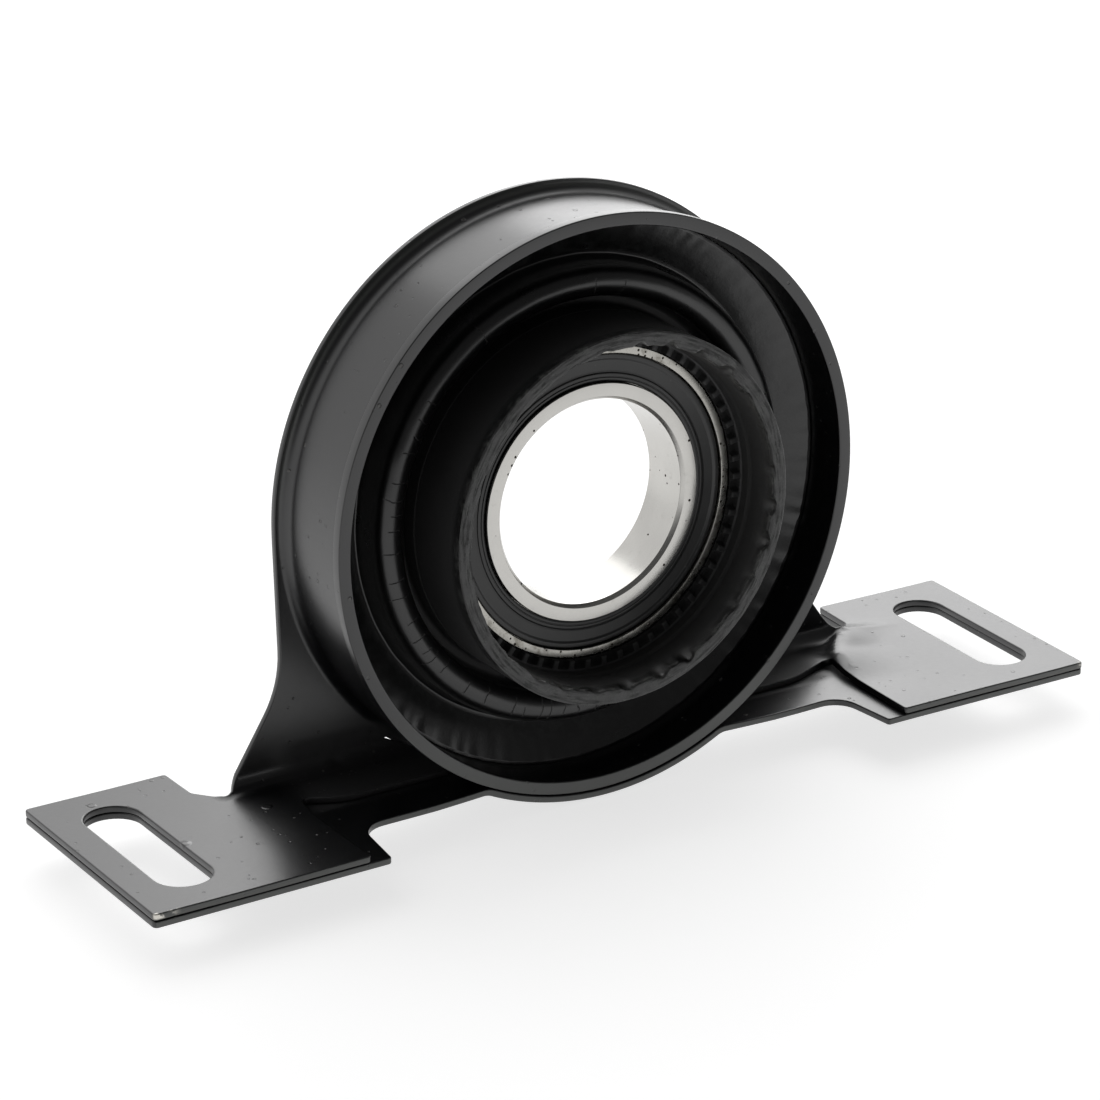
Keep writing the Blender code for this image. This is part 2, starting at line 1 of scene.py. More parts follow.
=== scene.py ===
"""Looks of the driveshaft centre bearing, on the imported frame.

Every dressed piece is made in millimetres about the shaft: x to the right, y backwards from the front
plane of the drum's lip, and z up from the shaft's centre line. Its object then sits at that point.
"""
import math

import bmesh
import bpy
import numpy as np
from mathutils import Matrix, Vector
from mathutils.geometry import delaunay_2d_cdt
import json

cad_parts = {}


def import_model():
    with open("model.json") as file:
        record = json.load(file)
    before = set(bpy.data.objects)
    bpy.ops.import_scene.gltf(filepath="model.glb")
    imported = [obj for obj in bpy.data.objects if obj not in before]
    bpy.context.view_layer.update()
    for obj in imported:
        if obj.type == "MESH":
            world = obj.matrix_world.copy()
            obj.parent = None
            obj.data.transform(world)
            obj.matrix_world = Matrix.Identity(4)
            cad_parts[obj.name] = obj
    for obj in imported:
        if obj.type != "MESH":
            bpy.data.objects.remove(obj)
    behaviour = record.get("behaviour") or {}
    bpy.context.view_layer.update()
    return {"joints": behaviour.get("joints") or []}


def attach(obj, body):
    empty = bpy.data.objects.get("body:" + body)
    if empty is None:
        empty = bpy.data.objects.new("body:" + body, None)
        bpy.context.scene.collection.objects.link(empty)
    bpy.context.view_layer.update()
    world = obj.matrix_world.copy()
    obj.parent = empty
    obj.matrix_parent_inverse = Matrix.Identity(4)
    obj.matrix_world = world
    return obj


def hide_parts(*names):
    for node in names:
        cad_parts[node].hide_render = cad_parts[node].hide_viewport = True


MM = 0.001
TURN = math.tau

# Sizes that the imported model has, in millimetres
LIP_AHEAD_OF_BEARING = 9.8
DRUM_BORE_R = 53.9
SHEET_T = 1.3
DRUM_R = DRUM_BORE_R + SHEET_T
DRUM_DEPTH = 23.2
LIP_DEPTH = 2.4
LIP_R = DRUM_R + SHEET_T
FLANGE_R = 57.7
BEND_R = 2.0
FOOT_TOP_Z = -48.8
FOOT_OUT_X = 104.0
FOOT_IN_X = 60.4
FOOT_FRONT_Y = -16.0
FOOT_BACK_Y = 36.5
NOTCH_X = 75.0
SLOT_X = 92.0
SLOT_W = 11.0
SLOT_L = 38.5
SLOT_MID_Y = (FOOT_FRONT_Y + FOOT_BACK_Y) / 2
STRAP_TOP_Z = FOOT_TOP_Z - SHEET_T - 0.1
SADDLE_R = LIP_R + 0.12
SADDLE_BEND_R = 4.0
HUB_R = 36.0
BEARING_FRONT_Y = 3.8
BEARING_W = 12.0
PITCH_R = 25.5
BALL_R = 3.175
BALLS = 16
CAGE_IN_R = 24.7
CAGE_OUT_R = 27.3
CAGE_T = 0.6
CAGE_ARC_R = BALL_R + 0.15
CAGE_GAP = 0.05
POCKETS = 54

# How finely the dressed pieces are cut
RING_STEPS = 256
RUBBER_STEPS = 540
STEEL_STEPS = 320
CAGE_STEPS = 24
BALL_STEPS = 24
BALL_SIDES = 32
RIVET_SIDES = 16


def smooth_step(value, low, high):
    """0 below low, 1 above high, and an even curve between them."""
    t = np.clip((np.asarray(value, float) - low) / (high - low), 0.0, 1.0)
    return t * t * (3 - 2 * t)


def bump_shape(distance, width):
    """Bell curve of a distance."""
    return np.exp(-(np.asarray(distance, float) / width) ** 2)


def arc(centre, radius, start, end, steps):
    """Points on an arc, both ends included, for angles in degrees."""
    angles = np.radians(np.linspace(start, end, steps + 1))
    return [(centre[0] + radius * math.cos(a), centre[1] + radius * math.sin(a)) for a in angles]


def rounded(corners, steps=4, closed=True):
    """Outline through (x, y, radius) corners, each rounded as far as its edges allow."""
    outline = []
    count = len(corners)
    for index, (x, y, radius) in enumerate(corners):
        ends = not closed and index in (0, count - 1)
        if radius == 0 or ends:
            outline.append((x, y))
            continue
        here = np.array((x, y))
        before = np.array(corners[index - 1][:2]) - here
        after = np.array(corners[(index + 1) % count][:2]) - here
        length_before = np.linalg.norm(before)
        length_after = np.linalg.norm(after)
        before /= length_before
        after /= length_after
        half = math.acos(float(np.clip(before @ after, -1, 1))) / 2
        if half > math.radians(89.5):
            outline.append((x, y))
            continue
        reach = min(radius / math.tan(half), 0.48 * length_before, 0.48 * length_after)
        size = reach * math.tan(half)
        middle = (before + after) / np.linalg.norm(before + after)
        centre = here + middle * size / math.sin(half)
        start = here + before * reach - centre
        end = here + after * reach - centre
        first = math.degrees(math.atan2(start[1], start[0]))
        sweep = (math.degrees(math.atan2(end[1], end[0])) - first + 180) % 360 - 180
        outline.extend(arc(centre, size, first, first + sweep, steps))
    return outline


def divided(outline, longest, closed=True):
    """The same outline with extra points, so that no edge is longer than the limit."""
    points = [np.array(p, float) for p in outline]
    result = []
    pairs = list(zip(points, points[1:] + points[:1]))
    if not closed:
        pairs = pairs[:-1]
    for first, second in pairs:
        parts = max(1, math.ceil(np.linalg.norm(second - first) / longest))
        for part in range(parts):
            result.append(tuple(first + (second - first) * part / parts))
    if not closed:
        result.append(tuple(points[-1]))
    return result


# Meshes

def finish_mesh(name, bm, material):
    """Smooth mesh in metres from a bmesh in millimetres."""
    bmesh.ops.scale(bm, vec=(MM, MM, MM), verts=bm.verts)
    mesh = bpy.data.meshes.new(name)
    bm.to_mesh(mesh)
    bm.free()
    mesh.materials.append(material)
    mesh.shade_smooth()
    return mesh


def add_piece(name, bm, material, location):
    """Object made from a bmesh whose points are in millimetres."""
    piece = bpy.data.objects.new(name, finish_mesh(name, bm, material))
    bpy.context.scene.collection.objects.link(piece)
    piece.location = location
    return piece


def revolve(bm, profile, segments, closed=True, shape=None):
    """Spin (radius, along) points about the shaft, with an optional change by angle."""
    profile = np.array(profile, float)
    angles = np.arange(segments) * TURN / segments
    angle, radius = np.meshgrid(angles, profile[:, 0], indexing="ij")
    along = np.broadcast_to(profile[:, 1], angle.shape).copy()
    if shape:
        radius, along, angle = shape(radius.copy(), along, angle)
    points = np.stack([radius * np.cos(angle), along, radius * np.sin(angle)], -1)
    verts = [[bm.verts.new(p) for p in row] for row in points]
    count = len(profile)
    for i in range(segments):
        ring = verts[i]
        after = verts[(i + 1) % segments]
        for j in range(count if closed else count - 1):
            k = (j + 1) % count
            bm.faces.new((ring[j], after[j], after[k], ring[k]))


def outward(bm):
    """Point every face of a closed body out."""
    bmesh.ops.recalc_face_normals(bm, faces=bm.faces)
    if bm.calc_volume(signed=True) < 0:
        bmesh.ops.reverse_faces(bm, faces=bm.faces)


def inset(loop, distance):
    """Loop moved into the sheet, which lies to the left of its direction."""
    points = np.array(loop, float)
    before = points - np.roll(points, 1, 0)
    after = np.roll(points, -1, 0) - points
    before /= np.linalg.norm(before, axis=1, keepdims=True)
    after /= np.linalg.norm(after, axis=1, keepdims=True)
    left = np.stack([-before[:, 1], before[:, 0]], 1) + np.stack([-after[:, 1], after[:, 0]], 1)
    left /= np.linalg.norm(left, axis=1, keepdims=True)
    cosine = np.abs((left * np.stack([-after[:, 1], after[:, 0]], 1)).sum(1))
    return points + left * (distance / np.maximum(cosine, 0.5))[:, None]


def inside(points, loop):
    """Which points lie inside a closed loop."""
    points = np.asarray(points, float)
    loop = np.asarray(loop, float)
    result = np.zeros(len(points), bool)
    x1, y1 = loop[-1]
    for x2, y2 in loop:
        crosses = (y1 > points[:, 1]) != (y2 > points[:, 1])
        if crosses.any() and y2 != y1:
            at = (x2 - x1) * (points[:, 1] - y1) / (y2 - y1) + x1
            result ^= crosses & (points[:, 0] < at)
        x1, y1 = x2, y2
    return result


def far_from(points, loops, distance):
    """Which points keep their distance from every loop."""
    keep = np.ones(len(points), bool)
    for loop in loops:
        loop = np.asarray(loop, float)
        for start in range(0, len(loop), 64):
            part = loop[start:start + 64]
            gap = np.linalg.norm(points[:, None] - part[None], axis=2).min(1)
            keep &= gap > distance
    return keep


# Rounding of the sheet's edges: its radius, its steps and how far in the flat skin starts
EDGE_R = 0.24
EDGE_STEPS = 3
EDGE_FLAT = 0.36


def edge_levels():
    """Inset and height of each ring round the sheet's rounded edge, from the top skin to the bottom."""
    top = [(EDGE_R * (1 - math.sin(a)), -EDGE_R * (1 - math.cos(a)))
           for a in np.linspace(0, math.pi / 2, EDGE_STEPS + 1)]
    low = [(gap, -SHEET_T - height) for gap, height in reversed(top)]
    return [(EDGE_FLAT, 0.0)] + top + low + [(EDGE_FLAT, -SHEET_T)]


def sheet(bm, outer, holes, plain_holes=(), grid=()):
    """Flat sheet with rounded edges, its top at height 0. A plain hole has no edge of its own."""
    levels = edge_levels()
    loops = [(outer, True)] + [(hole, True) for hole in holes] + [(hole, False) for hole in plain_holes]
    flat_loops = []
    top_verts = []
    low_verts = []
    for loop, has_edge in loops:
        rings = []
        if has_edge:
            for gap, height in levels:
                ring = inset(loop, gap)
                rings.append([bm.verts.new((x, y, height)) for x, y in ring])
            for ring, after in zip(rings, rings[1:]):
                for i in range(len(ring)):
                    k = (i + 1) % len(ring)
                    bm.faces.new((ring[i], after[i], after[k], ring[k]))
            flat_loops.append(inset(loop, EDGE_FLAT))
        else:
            for height in (0.0, -SHEET_T):
                rings.append([bm.verts.new((x, y, height)) for x, y in loop])
            flat_loops.append(np.array(loop, float))
        top_verts += rings[0]
        low_verts += rings[-1]
    spots = np.array(grid, float).reshape(-1, 2)
    if len(spots):
        keep = inside(spots, flat_loops[0])
        for loop in flat_loops[1:]:
            keep &= ~inside(spots, loop)
        spots = spots[keep]
        spots = spots[far_from(spots, [divided(loop, 0.5) for loop in flat_loops], 0.45)]
    for x, y in spots:
        top_verts.append(bm.verts.new((x, y, 0.0)))
        low_verts.append(bm.verts.new((x, y, -SHEET_T)))
    fill_sheet(bm, flat_loops, spots, top_verts, low_verts)


def fill_sheet(bm, loops, spots, top_verts, low_verts):
    """Triangles of both skins between the loops."""
    points = []
    edges = []
    for loop in loops:
        start = len(points)
        points += [Vector(p) for p in loop]
        edges += [(start + i, start + (i + 1) % len(loop)) for i in range(len(loop))]
    points += [Vector(p) for p in spots]
    found, _, faces, origin, _, _ = delaunay_2d_cdt(points, edges, [], 0, 1e-7)
    centres = np.array([sum((np.array(found[i]) for i in face), np.zeros(2)) / len(face) for face in faces])
    keep = inside(centres, loops[0])
    for loop in loops[1:]:
        keep &= ~inside(centres, loop)
    for face, kept in zip(faces, keep):
        if not kept or any(not origin[i] for i in face):
            continue
        ids = [origin[i][0] for i in face]
        bm.faces.new([top_verts[i] for i in ids])
        bm.faces.new([low_verts[i] for i in reversed(ids)])


def cut_lines(bm, axis, places):
    """Cut the whole mesh at some places along x or y, so that it can bend there."""
    normal = (1, 0, 0) if axis == 0 else (0, 1, 0)
    for place in places:
        point = [place * n for n in normal]
        geom = bm.verts[:] + bm.edges[:] + bm.faces[:]
        bmesh.ops.bisect_plane(bm, geom=geom, dist=1e-5, plane_co=point, plane_no=normal)


def slot_loop(side):
    """Long round-ended slot of one foot, clockwise, so that the sheet is on its left."""
    half = (SLOT_L - SLOT_W) / 2
    x = side * SLOT_X
    loop = arc((x, SLOT_MID_Y + half), SLOT_W / 2, 0, 180, 20)
    loop += arc((x, SLOT_MID_Y - half), SLOT_W / 2, 180, 360, 20)
    return loop[::-1]


# Bracket

FOLD_R = 3.2
FOLD_Y = DRUM_DEPTH - SHEET_T - FOLD_R
FOLD_Z = FOOT_TOP_Z + FOLD_R
FOLD_ARC = FOLD_R * math.pi / 2
AXIS_T = FOLD_Y + FOLD_ARC - FOLD_Z
HOLE_R = DRUM_R + BEND_R
RELIEF_R = FLANGE_R + 0.4
STRIP_END_X = 29.7
FOLD_FADES_FROM = 69.4
FOLD_FADES_TO = 72.2
FOLD_PULL = 1.7


def bracket_half():
    """Right half of the bracket's flat pattern, anticlockwise from the bottom of the flange to its top."""
    rim_end = math.degrees(math.asin(-FOLD_Z / FLANGE_R))
    relief_end = math.degrees(math.asin(-FOLD_Z / RELIEF_R))
    strip_end = math.degrees(math.acos(STRIP_END_X / RELIEF_R))
    bottom = arc((0, AXIS_T), FLANGE_R, -90, -rim_end, 36)
    relief = arc((0, AXIS_T), RELIEF_R, -relief_end, -strip_end, 10)
    plan = rounded([
        (*relief[-1], 0),
        (STRIP_END_X - 0.5, 8.9, 0.5),
        (51.5, 8.95, 14.0),
        (FOOT_IN_X, 13.0, 1.5),
        (FOOT_IN_X, FOOT_FRONT_Y, 0.7),
        (FOOT_OUT_X, FOOT_FRONT_Y, 0.8),
        (FOOT_OUT_X, FOOT_BACK_Y, 0.8),
        (NOTCH_X, FOOT_BACK_Y, 0.8),
        (NOTCH_X - 0.2, 26.2, 2.0),
        (70.4, 20.5, 1.2),
        (68.9, 21.3, 0.6),
        (57.3, AXIS_T - 29.9, 22.0),
        (FLANGE_R, AXIS_T - 2.0, 0),
    ], steps=8, closed=False)
    top = arc((0, AXIS_T), FLANGE_R, 0, 90, 64)
    return bottom + relief[:-1] + plan + top


def mirrored(half):
    """Whole loop from its right half, which starts and ends on the middle line."""
    left = [(-x, y) for x, y in reversed(half[1:-1])]
    return half + left


def fold_bracket(point):
    """Place of a flat pattern's point on the folded bracket."""
    x, t, h = point
    side = abs(x)
    on_flange = math.hypot(x, t - AXIS_T) < (FLANGE_R + RELIEF_R) / 2
    if on_flange or (t >= FOLD_Y + FOLD_ARC and side < FOLD_FADES_FROM):
        return (x, FOLD_Y + FOLD_R - h, t - AXIS_T)
    flat = np.array((x, t, FOOT_TOP_Z + h))
    share = 1 - float(smooth_step(side, FOLD_FADES_FROM, FOLD_FADES_TO))
    if share == 0 or t <= FOLD_Y:
        return flat
    turn = min((t - FOLD_Y) / FOLD_R, math.pi / 2)
    rise = max(t - FOLD_Y - FOLD_ARC, 0.0)
    share_of_arc = min((t - FOLD_Y) / FOLD_ARC, 1.0)
    pull = FOLD_PULL * math.sin(math.pi * share_of_arc) * float(smooth_step(side, 42.0, 34.0))
    folded = np.array((
        x - math.copysign(pull, x),
        FOLD_Y + (FOLD_R - h) * math.sin(turn),
        FOLD_Z - (FOLD_R - h) * math.cos(turn) + rise,
    ))
    return flat + (folded - flat) * share


# How far the drum's rear fillet is stretched along the shaft
FLARE = 1.3


def flared(radius, end_y):
    """Quarter bend from the flange into the wall, stretched along the shaft."""
    points = arc((HOLE_R, 0.0), radius, 90, 180, 12)
    return [(r, end_y + (y - radius) * FLARE) for r, y in points]


def drum_profile():
    """Skin of the drum, from the front of the flange round the folded lip to the flange's back."""
    front = flared(BEND_R, DRUM_DEPTH - SHEET_T)
    back = flared(BEND_R + SHEET_T, DRUM_DEPTH)[::-1]
    crease = [
        (DRUM_R, 3.4),
        (DRUM_R, 2.95),
        (DRUM_R - 0.1, 2.72),
        (DRUM_R - 0.06, 2.5),
        (DRUM_R + 0.1, LIP_DEPTH),
    ]
    lip = rounded([
        (DRUM_R + 0.35, LIP_DEPTH, 0),
        (LIP_R, LIP_DEPTH, 0.35),
        (LIP_R, 0.0, 0.22),
        (DRUM_BORE_R, 0.0, 0.35),
        (DRUM_BORE_R, 4.0, 0),
    ], steps=6, closed=False)
    walls = [(DRUM_R, y) for y in (16.0, 12.0, 8.0, 5.0)]
    bore = [(DRUM_BORE_R, y) for y in (8.0, 12.0, 16.0)]
    return front + walls + crease + lip + bore + back


def dent(points, centre, radius, depth, direction):
    """Push points near a place by a bell-shaped amount."""
    gap = np.linalg.norm(points - np.array(centre, float), axis=1)
    return points + np.outer(bump_shape(gap, radius) * depth, direction)


DIMPLE = (-46.6, 20.8, -47.7)
NOSE_CREST_X = 62.4
NOSE_Y = 13.0
NOSE_RISE = 1.6
TURN_X_BY_Y = 0.045
TURN_Y_BY_X = -0.02


def askew(points, share):
    """Small turn of the right foot, seen from above, as it came out of the press."""
    x, y, _ = points.T
    share = share * smooth_step(x, 46.0, 60.0)
    moved_x = TURN_X_BY_Y * (y - 9.0) * share
    moved_y = TURN_Y_BY_X * (x - 84.0) * share
    return points + np.stack([moved_x, moved_y, 0.0 * x], 1)


def shape_bracket(points):
    """Small press marks, the raised nose of the right foot and its slight turn."""
    x, y, z = points.T
    low = smooth_step(z, FOOT_TOP_Z + 8, FOOT_TOP_Z + 1.5)
    crest = NOSE_CREST_X + np.clip(y - NOSE_Y, 0.0, 7.5)
    width = np.where(x < crest, 1.8, 8.5)
    nose = smooth_step(y, 27.0, 20.0) * smooth_step(y, -2.0, NOSE_Y)
    nose = nose * bump_shape((x - crest) / width, 1.0) * low
    wave = np.sin(x * 0.11 + 0.6) * smooth_step(np.abs(x), 62, 100) * low
    swell = bump_shape(np.hypot(x - 70.0, y - 17.5), 4.0) * low
    shift = bump_shape(np.hypot(np.abs(x) - FOOT_IN_X, y - NOSE_Y), 4.5) * low
    rise = NOSE_RISE * nose + 0.10 * wave + 0.3 * swell
    points = points + np.stack([1.1 * shift, 0.0 * x, rise], 1)
    points = dent(points, DIMPLE, 1.4, 0.45, (0, 1, 0))
    return askew(points, low)


def foot_grid():
    """Extra points on the feet, closer together where the plate isn't flat."""
    spots = [(x, y) for x in np.arange(62.0, 104.0, 5.0) for y in np.arange(-14.0, 36.0, 5.0)]
    spots += [(x, y) for x in np.arange(48.0, 76.0, 1.3) for y in np.arange(-3.0, 26.0, 1.3)]
    spots += [(x, t) for x in np.arange(42.0, 52.0, 0.7) for t in np.arange(18.9, 25.0, 0.7)]
    return [(side * x, y) for x, y in spots for side in (1, -1)]


def map_points(bm, change):
    """Move every vertex by a function of its place."""
    for vert in bm.verts:
        vert.co = change(vert.co)


def shape_points(bm, change):
    """Move all vertices at once by a function of an array."""
    bm.verts.ensure_lookup_table()
    points = np.array([v.co for v in bm.verts])
    for vert, point in zip(bm.verts, change(points)):
        vert.co = point


def make_bracket(material, location):
    """Drum, flange, gussets and upper feet as one pressing."""
    bm = bmesh.new()
    outer = mirrored(bracket_half())
    outer = divided(outer, 6.0)
    hole = arc((0, AXIS_T), HOLE_R, 0, -360, RING_STEPS)[:-1]
    sheet(bm, outer, [slot_loop(1), slot_loop(-1)], [hole], foot_grid())
    cut_lines(bm, 1, [FOLD_Y + FOLD_ARC * step / 10 for step in range(11)])
    map_points(bm, fold_bracket)
    revolve(bm, drum_profile(), RING_STEPS, closed=False)
    bmesh.ops.remove_doubles(bm, verts=bm.verts, dist=0.002)
    outward(bm)
    shape_points(bm, shape_bracket)
    return add_piece("pressed_bracket", bm, material, location)


# Strap

def saddle_facts():
    """Centre of the saddle's end bend, its angle, and the path's length to the end of each part."""
    bend = SADDLE_BEND_R + SHEET_T
    centre_z = STRAP_TOP_Z - bend
    centre_x = math.sqrt((SADDLE_R + bend) ** 2 - centre_z ** 2)
    lean = math.atan2(centre_x, -centre_z)
    return centre_x, centre_z, lean, SADDLE_R * lean, (SADDLE_R + bend) * lean


def fold_strap(point):
    """Place of a flat strap's point on the bent strap, where its x is the length along the path."""
    u, y, h = point
    centre_x, centre_z, lean, arc_end, bend_end = saddle_facts()
    side = math.copysign(1.0, u)
    u = abs(u)
    bend = SADDLE_BEND_R + SHEET_T
    if u <= arc_end:
        angle = u / SADDLE_R
        return (side * (SADDLE_R - h) * math.sin(angle), y, -(SADDLE_R - h) * math.cos(angle))
    if u <= bend_end:
        angle = math.pi / 2 + lean - (u - arc_end) / bend
        x = centre_x + (bend + h) * math.cos(angle)
        return (side * x, y, centre_z + (bend + h) * math.sin(angle))
    return (side * (centre_x + u - bend_end), y, STRAP_TOP_Z + h)


def strap_half():
    """Right half of the strap's flat pattern, from the middle of its front edge to that of its back."""
    centre_x, _, _, _, bend_end = saddle_facts()
    shift = bend_end - centre_x
    plan = [
        (0.0, -1.2, 0),
        (54.3, -1.2, 5.5),
        (56.2, FOOT_FRONT_Y, 0.8),
        (FOOT_OUT_X, FOOT_FRONT_Y, 1.0),
        (FOOT_OUT_X, FOOT_BACK_Y, 0.8),
        (NOTCH_X, FOOT_BACK_Y, 0.8),
        (NOTCH_X, 17.5, 6.0),
        (0.0, 17.5, 0),
    ]
    plan = [(x + shift if x else 0.0, y, radius) for x, y, radius in plan]
    return rounded(plan, steps=8, closed=False)


def make_strap(material, location):
    """Lower layer of both feet with the saddle under the drum."""
    centre_x, _, _, arc_end, bend_end = saddle_facts()
    shift = bend_end - centre_x
    bm = bmesh.new()
    half = strap_half()
    outer = half + [(-x, y) for x, y in reversed(half[1:-1])]
    outer = divided(outer, 6.0)
    slots = [[(x + side * shift, y) for x, y in slot_loop(side)] for side in (1, -1)]
    sheet(bm, outer, slots)
    places = [arc_end * step / 22 for step in range(23)]
    places += [arc_end + (bend_end - arc_end) * step / 8 for step in range(1, 9)]
    cut_lines(bm, 0, places + [-place for place in places[1:]])
    map_points(bm, fold_strap)
    outward(bm)
    shape_points(bm, shape_strap)
    return add_piece("lower_strap", bm, material, location)


def shape_strap(points):
    """Slight waviness of the pressing away from the saddle, and the right foot's turn."""
    x, y, _ = points.T
    points = points.copy()
    points[:, 2] -= 0.10 * bump_shape(np.abs(x) - 55.0, 6.0) * smooth_step(y, -2, 14)
    points[:, 1] += 0.9 * smooth_step(np.abs(x), 40, 24) * smooth_step(y, 6, 0)
    return askew(points, 1.0)


# Rubber spring

def rubber_profile():
    """Section of the rubber, from the collar's lip over the roll to the skin and back behind."""
    roll_r = 41.65
    crest = (roll_r, 8.9)
    front = rounded([
        (32.9, 0.1, 0.15),
        (33.0, -0.5, 0.4),
        (33.1, -6.9, 0.2),
        (33.3, -7.4, 0.15),
        (33.9, -7.5, 0),
        (34.7, -7.5, 0),
        (HUB_R, -7.5, 0.28),
        (HUB_R, 8.0, 0),
        (HUB_R, 8.42, 0),
        (HUB_R + 0.11, 8.55, 0.05),
        (HUB_R, 8.68, 0),
        (HUB_R, 9.1, 0),
        (HUB_R, 12.9, 1.0),
        (37.7, 13.1, 0.6),
        (38.65, 12.4, 0.5),
    ], steps=5, closed=False)
    front = divided(front, 2.6, closed=False)
    crown = arc(crest, 3.0, 180, 360, 20)
    skin = rounded([
        (44.65, 12.3, 0.5),
        (45.5, 13.55, 0.45),
        (46.3, 13.30, 0.5),
        (53.1, 9.35, 0.25),
        (53.75, 9.3, 0.1),
        (53.75, 21.2, 0.4),
        (50.3, 21.2, 1.0),
        (48.8, 16.9, 2.0),
        (45.2, 14.9, 0.8),
    ], steps=4, closed=False)
    skin = divided(skin, 2.8, closed=False)
    hollow = arc(crest, 1.0, 360, 180, 8)
    back = rounded([
        (38.1, 14.9, 0.8),
        (36.0, 14.9, 0.4),
        (34.0, 16.9, 0.6),
        (29.9, 16.95, 0.2),
        (29.9, 15.95, 0),
        (31.15, 15.95, 0),
        (31.15, 3.65, 0),
        (30.6, 3.65, 0),
    ], steps=4, closed=False)
    teeth = [
        (30.6, 3.0), (30.6, 2.5), (30.68, 2.36), (30.8, 2.3),
        (31.3, 2.3), (31.9, 2.3), (32.14, 2.3), (32.26, 2.3),
    ]
    land = rounded([
        (32.5, 2.3, 0.2),
        (32.55, 2.1, 0.1),
        (32.72, 0.6, 0.2),
        (32.8, 0.3, 0.1),
    ], steps=3, closed=False)
    return front + crown + skin + hollow + back + teeth + land


def ring_noise(angle, seed, waves, low=3):
    """Smooth noise round a circle, about -1 to 1, the same on each run."""
    source = np.random.default_rng(seed)
    total = np.zeros_like(angle)
    for _ in range(waves):
        order = int(source.integers(low, low + 4 * waves))
        total += np.sin(order * angle + source.uniform(0, TURN)) * source.uniform(0.4, 1.0)
    return total / math.sqrt(waves)


def shape_rubber(radius, along, angle):
    """Castellations, the ragged moulded edges and a little unevenness."""
    phase = (angle * POCKETS / TURN) % 1.0
    pocket = smooth_step(phase, 0.0, 0.084) * (1 - smooth_step(phase, 0.58, 0.67))
    is_tooth = (radius < 32.2) & (along < 3.1) & (radius > 30.5)
    along = along + np.where(is_tooth, pocket * (3.3 - 0.9 * along), 0.0)

    torn = smooth_step(ring_noise(angle, 11, 8, 2), -0.1, 0.8)
    torn = torn * (0.3 + 0.7 * smooth_step(np.cos(angle), -0.3, 0.5))
    flash = ring_noise(angle, 19, 24, 9)
    collar_front = (along < -6.2) * (radius < 35.4)
    reach = collar_front * (1 - smooth_step(radius, 33.3, 35.2))
    radius = radius + reach * (1.25 * torn + 0.07 * flash)
    lip = bump_shape(radius - 34.8, 1.3) * (along < -6.2)
    along = along + lip * (0.10 * ring_noise(angle, 5, 12, 2) + 0.03 * flash)

    edge = bump_shape(radius - 53.1, 0.8) * (along > 8.8) * (along < 10.0)
    along = along + edge * 0.18 * ring_noise(angle, 8, 30, 8)
    cone = smooth_step(radius, 46.0, 48.0) * smooth_step(53.2 - radius, 0.0, 1.0) * (along < 13.0)
    along = along + cone * 0.02 * ring_noise(angle, 17, 24, 5)
    radius = radius + np.where((radius > 36.3) & (radius < 46.0), 0.05, 0.0) * ring_noise(angle, 3, 10, 2)
    return radius, along, angle


def make_rubber(material, location):
    """Moulded rubber spring."""
    bm = bmesh.new()
    revolve(bm, rubber_profile(), RUBBER_STEPS, shape=shape_rubber)
    outward(bm)
    return add_piece("rubber_spring", bm, material, location)


# Bearing

def ring_section(points, steps=4):
    """Closed rounded section of a ring, in millimetres behind the lip."""
    return rounded([(r, BEARING_FRONT_Y + y, radius) for r, y, radius in points], steps)


def groove(centre_r, start, end):
    """Ball groove of a race, as plain corners."""
    return [(r, y, 0) for r, y in arc((centre_r, BEARING_W / 2), 3.3, start, end, 12)]


def inner_section():
    """Inner ring with its bore chamfers, seal lands and groove."""
    return ring_section([
        (20.0, 0.75, 0.15), (20.65, 0.0, 0.15), (23.2, 0.0, 0.1), (23.2, 1.7, 0.05), (24.1, 1.7, 0.05),
        *groove(PITCH_R - 0.075, 245, 115),
        (24.1, 10.3, 0.05), (23.2, 10.3, 0.05), (23.2, 12.0, 0.1), (20.6, 12.0, 0.12), (20.0, 11.4, 0.12),
    ])


def outer_section():
    """Outer ring, the other way out."""
    return ring_section([
        (31.0, 0.6, 0.2), (30.4, 0.0, 0.2), (28.9, 0.0, 0.1), (28.9, 1.7, 0.05), (27.9, 1.7, 0.05),
        *groove(PITCH_R - 0.05, -43, 43),
        (27.9, 10.3, 0.05), (28.9, 10.3, 0.05), (28.9, 12.0, 0.1), (30.4, 12.0, 0.2), (31.0, 11.4, 0.2),
    ])


def seal_section(front):
    """Moulded seal with a rib at each edge and two fine grooves by the lip."""
    points = [
        (23.4, 1.3, 0.05), (23.4, 0.62, 0.1), (23.75, 0.5, 0.1), (24.1, 0.5, 0.08), (24.16, 0.68, 0.04),
        (24.3, 0.68, 0.04), (24.36, 0.52, 0.06), (24.9, 0.55, 0.1), (24.98, 0.72, 0.04), (25.1, 0.76, 0.04),
        (25.4, 0.8, 0.2), (27.4, 0.8, 0.25), (27.8, 0.52, 0.15), (28.5, 0.5, 0.12),
        (28.75, 0.7, 0.1), (28.75, 1.3, 0.05),
    ]
    if not front:
        points = [(r, BEARING_W - y, radius) for r, y, radius in points]
    return ring_section(points, 3)


def make_ring(name, section, material, location):
    """Ring turned from a closed section."""
    bm = bmesh.new()
    revolve(bm, section, STEEL_STEPS)
    outward(bm)
    return add_piece(name, bm, material, location)


def rise_of_arc(radius, shift):
    """Height of a round arc over its centre line, at a distance from its middle."""
    return math.sqrt(max(radius ** 2 - shift ** 2, 0.0))


